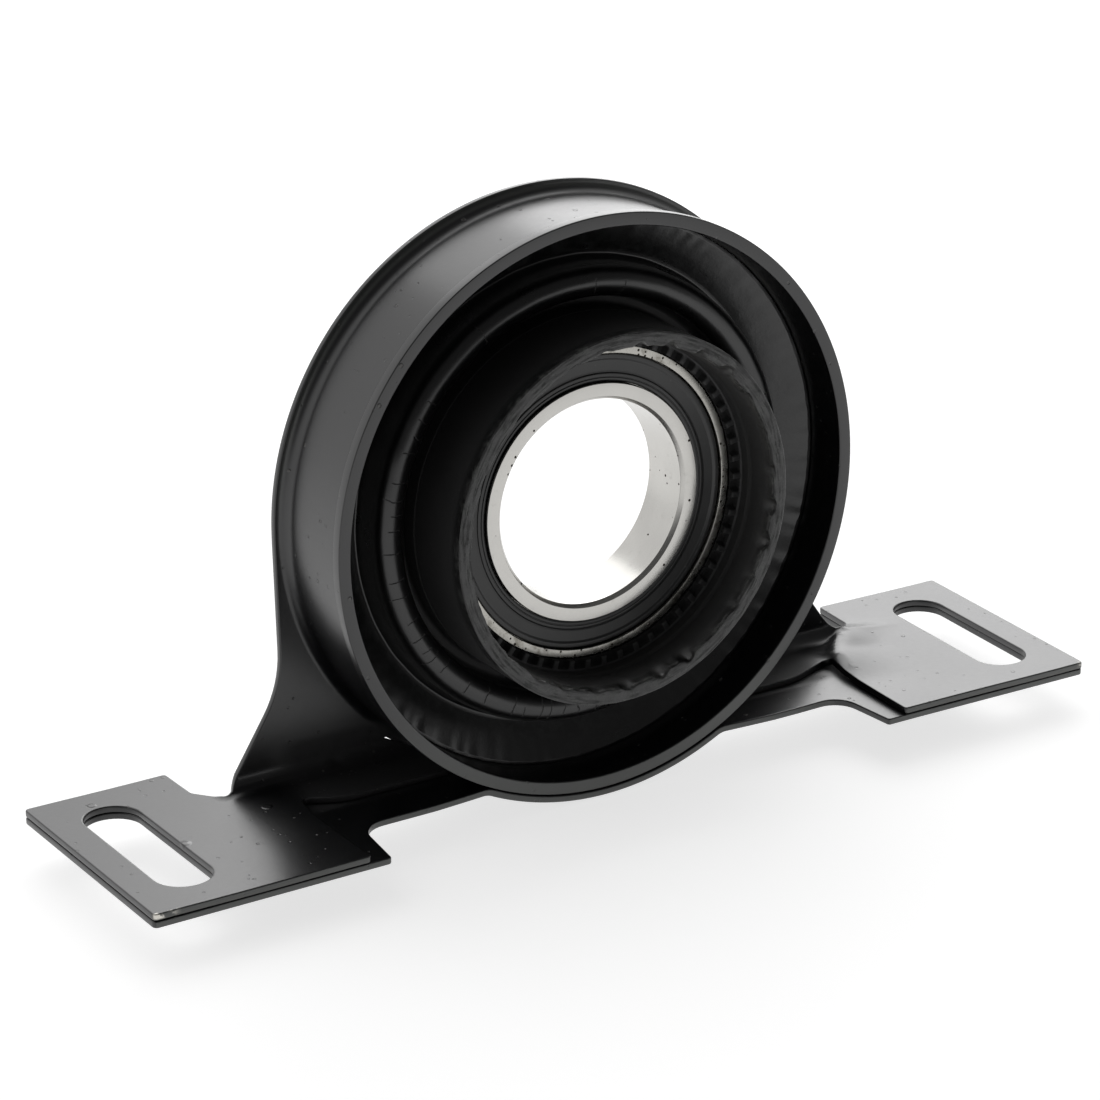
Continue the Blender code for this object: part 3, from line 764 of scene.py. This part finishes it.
def make_cage(name, side, material, location):
    """One half of the ribbon cage, with rivet heads on the flats between the balls."""
    bm = bmesh.new()
    half_angle = math.pi / BALLS
    stations = []
    for ball in range(BALLS):
        middle = TURN * ball / BALLS
        for step in range(CAGE_STEPS):
            shift = (step / CAGE_STEPS - 0.5) * 2 * half_angle * PITCH_R
            low = max(rise_of_arc(CAGE_ARC_R, shift), CAGE_GAP)
            high = max(rise_of_arc(CAGE_ARC_R + CAGE_T, shift), CAGE_GAP + CAGE_T)
            angle = middle + shift / PITCH_R
            corners = []
            section = ((CAGE_IN_R, low), (CAGE_OUT_R, low), (CAGE_OUT_R, high), (CAGE_IN_R, high))
            for radius, along in section:
                y = BEARING_FRONT_Y + BEARING_W / 2 + side * along
                corners.append(bm.verts.new((radius * math.cos(angle), y, radius * math.sin(angle))))
            stations.append(corners)
    for first, second in zip(stations, stations[1:] + stations[:1]):
        for corner in range(4):
            after = (corner + 1) % 4
            bm.faces.new((first[corner], second[corner], second[after], first[after]))
    outward(bm)
    for ball in range(BALLS):
        add_rivet(bm, TURN * (ball + 0.5) / BALLS, side)
    return add_piece(name, bm, material, location)


def add_rivet(bm, angle, side):
    """Domed rivet head on the cage's flat, sunk in it by a tenth of a millimetre."""
    middle_y = BEARING_FRONT_Y + BEARING_W / 2
    centre = Vector((PITCH_R * math.cos(angle), middle_y, PITCH_R * math.sin(angle)))
    rings = []
    base = side * (CAGE_GAP + CAGE_T - 0.1)
    for radius, rise in ((0.62, 0.0), (0.6, 0.2), (0.45, 0.36), (0.2, 0.44)):
        ring = []
        for step in range(RIVET_SIDES):
            a = TURN * step / RIVET_SIDES
            offset = Vector((radius * math.cos(a), base + side * rise, radius * math.sin(a)))
            ring.append(bm.verts.new(centre + offset))
        rings.append(ring)
    for ring, after in zip(rings, rings[1:]):
        for i in range(RIVET_SIDES):
            k = (i + 1) % RIVET_SIDES
            face = (ring[i], ring[k], after[k], after[i])
            bm.faces.new(face if side < 0 else face[::-1])
    bm.faces.new(rings[-1] if side < 0 else rings[-1][::-1])
    bm.faces.new(rings[0][::-1] if side < 0 else rings[0])


def ball_mesh(material):
    """Smooth ball turned from a half circle, with one small flat pole at each end."""
    bm = bmesh.new()
    rings = []
    for step in range(1, BALL_STEPS):
        polar = math.pi * step / BALL_STEPS
        ring = []
        for k in range(BALL_SIDES):
            a = TURN * k / BALL_SIDES
            point = Vector((math.sin(polar) * math.cos(a), math.cos(polar), math.sin(polar) * math.sin(a)))
            ring.append(bm.verts.new(point * BALL_R))
        rings.append(ring)
    for ring, after in zip(rings, rings[1:]):
        for i in range(BALL_SIDES):
            k = (i + 1) % BALL_SIDES
            bm.faces.new((ring[i], ring[k], after[k], after[i]))
    bm.faces.new(rings[0])
    bm.faces.new(rings[-1])
    outward(bm)
    return finish_mesh("bearing_ball", bm, material)


# Materials

class Graph:
    """A material's nodes, with short calls for the kinds used here."""

    def __init__(self, name):
        self.material = bpy.data.materials.new(name)
        self.material.use_nodes = True
        self.tree = self.material.node_tree
        self.shader = self.tree.nodes["Principled BSDF"]
        place = self.tree.nodes.new("ShaderNodeTexCoord")
        self.place = place.outputs["Object"]
        self.facing = place.outputs["Normal"]

    def link(self, value, socket):
        """Connect an output, or write a number, to a socket."""
        if isinstance(value, bpy.types.NodeSocket):
            self.tree.links.new(value, socket)
        else:
            socket.default_value = value

    def math(self, operation, first, second=0.0, third=None):
        """Result of one math step."""
        node = self.tree.nodes.new("ShaderNodeMath")
        node.operation = operation
        self.link(first, node.inputs[0])
        self.link(second, node.inputs[1])
        if third is not None:
            self.link(third, node.inputs[2])
        return node.outputs[0]

    def times(self, first, second):
        """Product of two values."""
        return self.math("MULTIPLY", first, second)

    def rest(self, value):
        """What a value leaves of 1."""
        return self.math("SUBTRACT", 1.0, value)

    def noise(self, vector, scale, detail=3.0, roughness=0.55, distortion=0.0):
        """Noise value between 0 and 1."""
        node = self.tree.nodes.new("ShaderNodeTexNoise")
        self.link(vector, node.inputs["Vector"])
        node.inputs["Scale"].default_value = scale
        node.inputs["Detail"].default_value = detail
        node.inputs["Roughness"].default_value = roughness
        node.inputs["Distortion"].default_value = distortion
        return node.outputs["Fac"]

    def cells(self, vector, scale):
        """Distance to the nearest scattered point, and that point's own random colour."""
        node = self.tree.nodes.new("ShaderNodeTexVoronoi")
        self.link(vector, node.inputs["Vector"])
        node.inputs["Scale"].default_value = scale
        return node.outputs["Distance"], node.outputs["Color"]

    def ramp(self, value, low, high):
        """0 to 1 as a value goes from low to high."""
        node = self.tree.nodes.new("ShaderNodeMapRange")
        node.interpolation_type = "SMOOTHSTEP"
        self.link(value, node.inputs["Value"])
        node.inputs["From Min"].default_value = low
        node.inputs["From Max"].default_value = high
        return node.outputs["Result"]

    def mix(self, share, first, second):
        """Blend of two colours."""
        node = self.tree.nodes.new("ShaderNodeMix")
        node.data_type = "RGBA"
        self.link(share, node.inputs[0])
        for colour, socket in ((first, node.inputs[6]), (second, node.inputs[7])):
            self.link(colour if isinstance(colour, bpy.types.NodeSocket) else (*colour, 1.0), socket)
        return node.outputs[2]

    def vector(self, x, y, z):
        """Vector from three values."""
        node = self.tree.nodes.new("ShaderNodeCombineXYZ")
        for value, socket in zip((x, y, z), node.inputs):
            self.link(value, socket)
        return node.outputs[0]

    def parts(self, vector):
        """The three values of a vector."""
        node = self.tree.nodes.new("ShaderNodeSeparateXYZ")
        self.link(vector, node.inputs[0])
        return node.outputs[:3]

    def millimetres(self):
        """The point's three distances from the shaft's origin, in millimetres."""
        return [self.math("MULTIPLY", output, 1000.0) for output in self.parts(self.place)]

    def round_shaft(self):
        """Radius and distance along the shaft in millimetres, and the two parts of the direction."""
        x, y, z = self.millimetres()
        square = self.math("ADD", self.math("MULTIPLY", x, x), self.math("MULTIPLY", z, z))
        radius = self.math("SQRT", square)
        return radius, y, self.math("DIVIDE", x, radius), self.math("DIVIDE", z, radius)

    def bump(self, height, strength, distance, before=None):
        """Surface direction from a height, on top of an earlier bump."""
        node = self.tree.nodes.new("ShaderNodeBump")
        self.link(height, node.inputs["Height"])
        node.inputs["Strength"].default_value = strength
        node.inputs["Distance"].default_value = distance
        if before is not None:
            self.link(before, node.inputs["Normal"])
        return node.outputs[0]

    def finish(self, colour=None, roughness=None, normal=None, **fixed):
        """Connect the shader and return the material."""
        if colour is not None:
            self.link(colour, self.shader.inputs["Base Color"])
        if roughness is not None:
            self.link(roughness, self.shader.inputs["Roughness"])
        if normal is not None:
            self.link(normal, self.shader.inputs["Normal"])
        for name, value in fixed.items():
            self.shader.inputs[name.replace("_", " ")].default_value = value
        return self.material


def colour_parts(g, colour):
    """Red, green and blue of a colour, used as three random values."""
    split = g.tree.nodes.new("ShaderNodeSeparateColor")
    g.link(colour, split.inputs[0])
    return split.outputs[:3]


def dots(g, scale, size, amount):
    """Scattered round specks: 1 inside a speck and 0 outside, for a share of the cells."""
    distance, colour = g.cells(g.place, scale)
    first, second, _ = colour_parts(g, colour)
    chosen = g.math("LESS_THAN", first, amount)
    spread = g.times(g.math("ADD", second, 0.4), size)
    inside_speck = g.rest(g.ramp(g.math("DIVIDE", distance, spread), 0.6, 1.0))
    return g.times(inside_speck, chosen)


def near(g, point, centre, reach):
    """1 at a place, in millimetres about the shaft, and 0 beyond its reach."""
    gaps = [g.math("SUBTRACT", value, middle) for value, middle in zip(point, centre)]
    squares = [g.math("POWER", gap, 2.0) for gap in gaps]
    total = g.math("ADD", g.math("ADD", squares[0], squares[1]), squares[2])
    return g.rest(g.ramp(g.math("SQRT", total), 0.25 * reach, reach))


BLISTER = (-85.8, 7.3, -48.8)
LEFT_CHIP = (-102.4, -16.0, -49.0)
RIGHT_CHIP = (103.2, -17.0, -49.0)


def bare_corners(g, point):
    """Bare steel on the front edge of both upper plates, at the outer corners."""
    _, y, z = point
    chips = g.math("MAXIMUM", near(g, point, LEFT_CHIP, 4.2), near(g, point, RIGHT_CHIP, 2.4))
    edge_only = g.times(g.ramp(y, -15.2, -15.8), g.ramp(z, -50.0, -49.5))
    ragged = g.ramp(g.noise(g.place, 500.0, 3.0), 0.40, 0.50)
    return g.times(g.times(chips, edge_only), ragged)


def front_faces_painted_sheen(g, point):
    """Painted highlight on faces that look forwards: the lip and feet low down, and less on the flange's
    top, lightened to grey as a painted reflection.
    """
    _, y, z = point
    faces_front = g.ramp(g.parts(g.facing)[1], -0.75, -0.95)
    low_front = g.times(g.ramp(y, 1.0, 0.5), g.ramp(z, -25.0, -50.0))
    flange_top = g.times(g.ramp(y, 19.0, 20.5), g.ramp(z, -10.0, 25.0))
    return g.times(faces_front, g.math("MAXIMUM", low_front, g.times(flange_top, 0.6)))


def paint_material():
    """Satin black paint on pressed steel, with dust, pits and chipped corners."""
    g = Graph("satin_black_paint")
    point = g.millimetres()
    x, y, z = point
    large = g.noise(g.place, 45.0, 2.0)
    small = g.noise(g.place, 900.0, 3.0)
    dust = dots(g, 420.0, 0.16, 0.15)
    grit = dots(g, 800.0, 0.24, 0.10)
    blister = g.math("MAXIMUM", dots(g, 150.0, 0.13, 0.10), near(g, point, BLISTER, 1.3))
    bare = bare_corners(g, point)

    colour = g.mix(large, (0.0024, 0.0024, 0.0030), (0.0050, 0.0050, 0.0062))
    colour = g.mix(g.times(dust, 0.35), colour, (0.16, 0.15, 0.14))
    colour = g.mix(g.times(grit, 0.25), colour, (0.12, 0.12, 0.115))
    # Forward-facing faces lightened to grey: a painted highlight standing in for their reflection.
    colour = g.mix(g.times(front_faces_painted_sheen(g, point), 0.8), colour, (0.140, 0.148, 0.138))
    colour = g.mix(bare, colour, (0.62, 0.60, 0.55))

    under_drum = g.times(g.ramp(g.math("ABSOLUTE", x), 62.0, 54.0), g.ramp(z, -40.0, -43.0))
    rough = g.math("MULTIPLY_ADD", large, 0.08, 0.23)
    rough = g.math("MULTIPLY_ADD", small, 0.06, rough)
    rough = g.math("MULTIPLY_ADD", g.times(under_drum, g.ramp(y, 6.5, 9.5)), 0.40, rough)

    normal = g.bump(small, 0.20, 0.00004)
    normal = g.bump(g.math("ADD", dust, g.times(blister, 1.6)), 0.8, 0.00012, normal)
    normal = g.bump(g.rest(grit), 0.7, 0.00010, normal)
    g.link(bare, g.shader.inputs["Metallic"])
    return g.finish(colour, rough, normal, IOR=1.66)


CRACK_CELLS = 84


def roll_cracks(g, radius, cos_a, sin_a):
    """Short cracks across the roll, one to a cell round the shaft at most, mainly at the lower left."""
    wobble = g.math("SUBTRACT", g.noise(g.place, 300.0, 2.0), 0.5)
    turn = g.times(g.math("ARCTAN2", sin_a, cos_a), CRACK_CELLS / TURN)
    turn = g.math("MULTIPLY_ADD", wobble, 0.55, turn)
    pick = g.tree.nodes.new("ShaderNodeTexWhiteNoise")
    pick.noise_dimensions = "1D"
    g.link(g.math("FLOOR", turn), pick.inputs["W"])
    first, second, third = colour_parts(g, pick.outputs["Color"])
    gap = g.math("SUBTRACT", g.math("FRACT", turn), g.math("MULTIPLY_ADD", first, 0.6, 0.2))
    line = g.rest(g.ramp(g.math("ABSOLUTE", gap), 0.014, 0.040))
    offset = g.math("ABSOLUTE", g.math("SUBTRACT", radius, g.math("MULTIPLY_ADD", second, 2.0, 40.4)))
    length = g.math("SUBTRACT", offset, g.times(third, 1.5))
    line = g.times(line, g.rest(g.ramp(length, 0.4, 1.1)))
    lower_left = g.math("ADD", g.times(cos_a, -0.6), g.times(sin_a, -0.8))
    sector = g.ramp(lower_left, -0.6, 0.3)
    chosen = g.math("LESS_THAN", pick.outputs["Value"], g.math("MULTIPLY_ADD", sector, 0.72, 0.10))
    return g.times(line, chosen)


def rubber_material():
    """Moulded black rubber: cracks across the roll, a worn collar edge, and the castellation pockets
    darkened as painted shade.
    """
    g = Graph("moulded_rubber")
    radius, along, cos_a, sin_a = g.round_shaft()
    large = g.noise(g.place, 60.0, 3.0)
    small = g.noise(g.place, 1400.0, 3.0)
    grain = g.noise(g.place, 520.0, 4.0, 0.65)

    crack = roll_cracks(g, radius, cos_a, sin_a)
    collar = g.times(g.ramp(radius, 32.8, 33.2), g.rest(g.ramp(along, -7.2, -5.2)))
    worn = g.times(collar, g.ramp(grain, 0.45, 0.62))
    flakes = g.times(collar, g.ramp(g.noise(g.place, 380.0, 4.0, 0.6, 0.6), 0.56, 0.63))
    round_collar = g.vector(g.times(cos_a, 5.0), g.times(sin_a, 5.0), g.times(radius, 1.8))
    along_lip = g.noise(round_collar, 1.5, 4.0, 0.6)
    streaks = g.times(collar, g.ramp(along_lip, 0.46, 0.60))
    valley = g.times(g.rest(g.ramp(radius, 38.4, 39.4)), g.ramp(along, 9.0, 10.4))
    cone = g.times(g.ramp(radius, 45.8, 46.4), g.rest(g.ramp(along, 13.2, 13.5)))
    inner_edge = g.math("MULTIPLY_ADD", g.ramp(radius, 51.0, 46.6), 1.2, 0.35)
    scuff = g.times(g.times(cone, g.ramp(grain, 0.42, 0.62)), inner_edge)
    # Recessed castellation pockets behind the teeth: painted shade, with their colour darkened and their
    # roughness raised.
    pocket = g.times(g.rest(g.ramp(radius, 32.2, 32.5)), g.ramp(along, 2.35, 2.6))

    colour = g.mix(large, (0.0022, 0.0022, 0.0025), (0.0046, 0.0046, 0.0050))
    colour = g.mix(g.times(scuff, 0.30), colour, (0.045, 0.047, 0.047))
    colour = g.mix(g.times(worn, 0.65), colour, (0.085, 0.090, 0.084))
    colour = g.mix(g.times(streaks, 0.85), colour, (0.006, 0.006, 0.006))
    colour = g.mix(g.times(flakes, 0.8), colour, (0.004, 0.004, 0.004))
    colour = g.mix(crack, colour, (0.0008, 0.0008, 0.0008))
    # Painted shade in the castellation pockets.
    colour = g.mix(pocket, colour, (0.0008, 0.0008, 0.0008))
    hub_side = g.times(g.rest(g.ramp(radius, 36.3, 37.0)), g.ramp(along, -6.5, -4.0))
    rough = g.math("MULTIPLY_ADD", large, 0.2, 0.20)
    rough = g.math("MULTIPLY_ADD", worn, 0.16, rough)
    rough = g.math("MULTIPLY_ADD", streaks, 0.30, rough)
    rough = g.math("MULTIPLY_ADD", g.math("MAXIMUM", hub_side, valley), 0.35, rough)
    rough = g.math("MULTIPLY_ADD", g.math("MAXIMUM", pocket, crack), 0.4, rough)
    normal = g.bump(small, 0.22, 0.00005)
    normal = g.bump(g.rest(crack), 0.9, 0.00022, normal)
    rugged = g.times(g.math("ADD", collar, g.times(cone, 0.35)), grain)
    normal = g.bump(rugged, 0.7, 0.00016, normal)
    return g.finish(colour, rough, normal, IOR=1.60)


def steel_material(name, bright, roughness, dirt):
    """Ground bearing steel with fine turning lines and dirt specks."""
    g = Graph(name)
    radius, along, cos_a, _ = g.round_shaft()
    lines = g.noise(g.vector(radius, along, g.times(cos_a, 0.8)), 9.0, 2.0)
    patches = g.noise(g.place, 120.0, 2.0)
    smear = g.ramp(g.noise(g.place, 420.0, 4.0, 0.65), 0.60 - 0.12 * dirt, 0.74)
    coarse = dots(g, 700.0, 0.20, 0.05 + 0.22 * dirt)
    fine = dots(g, 1300.0, 0.3, 0.02 + 0.25 * dirt)
    speck = g.math("MAXIMUM", coarse, fine)
    dark = tuple(0.80 * c for c in bright)
    colour = g.mix(patches, dark, bright)
    colour = g.mix(g.times(smear, 0.15 + 0.65 * dirt), colour, (0.10, 0.09, 0.07))
    colour = g.mix(speck, colour, (0.03, 0.025, 0.02))
    rough = g.math("MULTIPLY_ADD", patches, 0.10, roughness)
    rough = g.math("MULTIPLY_ADD", speck, 0.3, rough)
    normal = g.bump(lines, 0.08, 0.00003)
    normal = g.bump(speck, 0.3, 0.00005, normal)
    return g.finish(colour, rough, normal, Metallic=1.0)


def seal_material():
    """Smooth dark seal rubber with a faint moulded grain and a little dust."""
    g = Graph("seal_rubber_looks")
    large = g.noise(g.place, 90.0, 2.0)
    small = g.noise(g.place, 1500.0, 2.0)
    dust = dots(g, 900.0, 0.22, 0.05)
    colour = g.mix(large, (0.0040, 0.0042, 0.0042), (0.0085, 0.0090, 0.0088))
    colour = g.mix(g.times(dust, 0.3), colour, (0.10, 0.10, 0.095))
    rough = g.math("MULTIPLY_ADD", large, 0.12, 0.30)
    return g.finish(colour, rough, g.bump(small, 0.2, 0.00004), IOR=1.56)


# Stage

FLOOR_GLOW = 0.70
FLOOR_RINGS = (0.3, 0.8, 2.0, 5.0)
FLOOR_SIDES = 64
SKY_LIGHT = 0.78
SKY_MORE_IN_GLOSS = 0.20
SKY_DARK_SHARE = 0.12


def floor_material():
    """Pale floor that looks white to the camera and in reflections, and keeps a soft shadow."""
    g = Graph("pale_floor")
    tree = g.tree
    light = tree.nodes.new("ShaderNodeLightPath")
    glow = tree.nodes.new("ShaderNodeEmission")
    add = tree.nodes.new("ShaderNodeAddShader")
    output = tree.nodes["Material Output"]
    seen = g.math("MAXIMUM", light.outputs["Is Camera Ray"], light.outputs["Is Glossy Ray"])
    seen = g.math("MAXIMUM", seen, light.outputs["Is Transmission Ray"])
    grain = g.noise(g.place, 6.0, 2.0)
    colour = g.mix(grain, (0.60, 0.60, 0.60), (0.62, 0.62, 0.62))
    g.finish(colour, 0.9, Specular_IOR_Level=0.0)
    g.link(g.times(seen, FLOOR_GLOW), glow.inputs["Strength"])
    tree.links.new(g.shader.outputs[0], add.inputs[0])
    tree.links.new(glow.outputs[0], add.inputs[1])
    tree.links.new(add.outputs[0], output.inputs["Surface"])
    return g.material


def add_floor():
    """Large round floor under the lowest point."""
    bm = bmesh.new()
    previous = None
    for radius in FLOOR_RINGS:
        turns = [TURN * k / FLOOR_SIDES for k in range(FLOOR_SIDES)]
        ring = [bm.verts.new((radius * math.cos(a), radius * math.sin(a), 0)) for a in turns]
        if previous is None:
            bm.faces.new(ring)
        else:
            for i in range(FLOOR_SIDES):
                k = (i + 1) % FLOOR_SIDES
                bm.faces.new((previous[i], ring[i], ring[k], previous[k]))
        previous = ring
    mesh = bpy.data.meshes.new("floor")
    bm.to_mesh(mesh)
    bm.free()
    mesh.materials.append(floor_material())
    floor = bpy.data.objects.new("floor", mesh)
    bpy.context.scene.collection.objects.link(floor)
    floor.location = (0, 0, -0.0002)


def add_world():
    """Pale surroundings, darker up and forwards, where the studio is open, and white to the camera."""
    world = bpy.data.worlds.new("studio")
    bpy.context.scene.world = world
    world.use_nodes = True
    tree = world.node_tree

    def step(operation, *values):
        """Result of one math node."""
        node = tree.nodes.new("ShaderNodeMath")
        node.operation = operation
        for value, socket in zip(values, node.inputs):
            if isinstance(value, bpy.types.NodeSocket):
                tree.links.new(value, socket)
            else:
                socket.default_value = value
        return node.outputs[0]

    light = tree.nodes.new("ShaderNodeLightPath")
    direction = tree.nodes.new("ShaderNodeTexCoord")
    split = tree.nodes.new("ShaderNodeSeparateXYZ")
    tree.links.new(direction.outputs["Generated"], split.inputs[0])
    forwards = step("MULTIPLY_ADD", split.outputs[2], 0.55, step("MULTIPLY", split.outputs[1], -0.8))
    fade = tree.nodes.new("ShaderNodeMapRange")
    fade.interpolation_type = "SMOOTHSTEP"
    tree.links.new(forwards, fade.inputs["Value"])
    fade.inputs["From Min"].default_value = 0.15
    fade.inputs["From Max"].default_value = 0.65
    fade.inputs["To Min"].default_value = 1.0
    fade.inputs["To Max"].default_value = SKY_DARK_SHARE
    seen = step("MAXIMUM", light.outputs["Is Glossy Ray"], light.outputs["Is Transmission Ray"])
    light_level = step("MULTIPLY_ADD", seen, SKY_MORE_IN_GLOSS, SKY_LIGHT)
    strength = step("MULTIPLY", light_level, fade.outputs[0])
    strength = step("MAXIMUM", strength, light.outputs["Is Camera Ray"])
    background = tree.nodes["Background"]
    background.inputs["Color"].default_value = (1.0, 1.0, 1.0, 1.0)
    tree.links.new(strength, background.inputs["Strength"])


def add_softbox(name, centre, target, width, height, radiance):
    """Rectangular soft light that faces a point and gives an even glow in reflections."""
    data = bpy.data.lights.new(name, "AREA")
    data.shape = "RECTANGLE"
    data.size = width
    data.size_y = height
    data.energy = radiance * width * height * math.pi
    lamp = bpy.data.objects.new(name, data)
    bpy.context.scene.collection.objects.link(lamp)
    lamp.location = centre
    direction = Vector(target) - Vector(centre)
    lamp.rotation_euler = direction.to_track_quat("-Z", "Y").to_euler()
    lamp.visible_camera = False
    return lamp


CAMERA_PLACE = (-0.3737, -0.5884, 0.3144)
CAMERA_TURN = (-32.2754, -20.7284, -0.5537)
CAMERA_FOCAL_PX = 3960.4
CAMERA_CENTRE_PX = (565.9, 530.5)
PHOTO_PX = 1100.0


def add_camera():
    """Camera that was fitted to the circles and feet in the photograph."""
    yaw, pitch, roll = (math.radians(angle) for angle in CAMERA_TURN)
    ahead = Vector((-math.sin(yaw) * math.cos(pitch), math.cos(yaw) * math.cos(pitch), math.sin(pitch)))
    level = Vector((math.cos(yaw), math.sin(yaw), 0))
    upright = level.cross(ahead)
    right = level * math.cos(roll) + upright * math.sin(roll)
    up = upright * math.cos(roll) - level * math.sin(roll)
    data = bpy.data.cameras.new("camera")
    data.sensor_width = 36.0
    data.lens = CAMERA_FOCAL_PX / PHOTO_PX * data.sensor_width
    data.shift_x = (PHOTO_PX / 2 - CAMERA_CENTRE_PX[0]) / PHOTO_PX
    data.shift_y = (CAMERA_CENTRE_PX[1] - PHOTO_PX / 2) / PHOTO_PX
    data.clip_start = 0.01
    camera = bpy.data.objects.new("camera", data)
    bpy.context.scene.collection.objects.link(camera)
    rows = Matrix((right, up, -ahead)).transposed()
    camera.matrix_world = Matrix.Translation(CAMERA_PLACE) @ rows.to_4x4()
    bpy.context.scene.camera = camera


def dress(frame):
    """Make every piece, set it on its body and let it stand for its node."""
    hinge = frame["joints"][0]["pos_m"]
    place = (0.0, hinge[1] - LIP_AHEAD_OF_BEARING * MM, hinge[2])
    paint = paint_material()
    rubber = rubber_material()
    race = steel_material("ground_steel", (0.44, 0.43, 0.40), 0.22, 1.0)
    inner = steel_material("polished_steel", (0.57, 0.56, 0.535), 0.20, 0.0)
    ball = steel_material("ball_steel_looks", (0.80, 0.80, 0.79), 0.08, 0.0)
    cage = steel_material("cage_steel_looks", (0.50, 0.50, 0.51), 0.30, 0.1)
    seal = seal_material()
    made = [
        (make_bracket(paint, place), "housing_bracket", "housing", "bracket_paint"),
        (make_strap(paint, place), "base_strap", "housing", "bracket_paint"),
        (make_rubber(rubber, place), "rubber_mount", "housing", "mount_rubber"),
        (make_ring("outer_race", outer_section(), race, place), "outer_ring", "housing", "race_steel"),
        (make_ring("inner_race_ring", inner_section(), inner, place),
         "inner_ring", "inner_race", "race_steel"),
        (make_ring("seal_front", seal_section(True), seal, place), "front_seal", "housing", "seal_rubber"),
        (make_ring("seal_rear", seal_section(False), seal, place), "rear_seal", "housing", "seal_rubber"),
        (make_cage("cage_half_front", -1, cage, place), "cage_front", "ball_train", "cage_steel"),
        (make_cage("cage_half_rear", 1, cage, place), "cage_rear", "ball_train", "cage_steel"),
    ]
    mesh = ball_mesh(ball)
    for index in range(BALLS):
        angle = TURN * index / BALLS
        piece = bpy.data.objects.new(f"race_ball_{index + 1:02d}", mesh)
        bpy.context.scene.collection.objects.link(piece)
        height = hinge[2] + PITCH_R * MM * math.sin(angle)
        piece.location = (PITCH_R * MM * math.cos(angle), hinge[1], height)
        made.append((piece, f"ball_{index + 1:02d}", "ball_train", "ball_steel"))
    for piece, node, body, slot in made:
        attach(piece, body)
        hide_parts(node)


def main():
    """Load the frame, dress it, light it and place the camera."""
    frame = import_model()
    scene = bpy.context.scene
    scene.view_settings.view_transform = "Standard"
    add_camera()
    add_world()
    add_floor()
    add_softbox("back_softbox", (0.474, 0.502, 0.306), (0, 0, 0.05), 0.5, 0.5, 1.85)
    add_softbox("top_softbox", (0.28, 0.68, 0.74), (0, 0, 0.05), 0.9, 0.9, 1.2)
    dress(frame)


main()
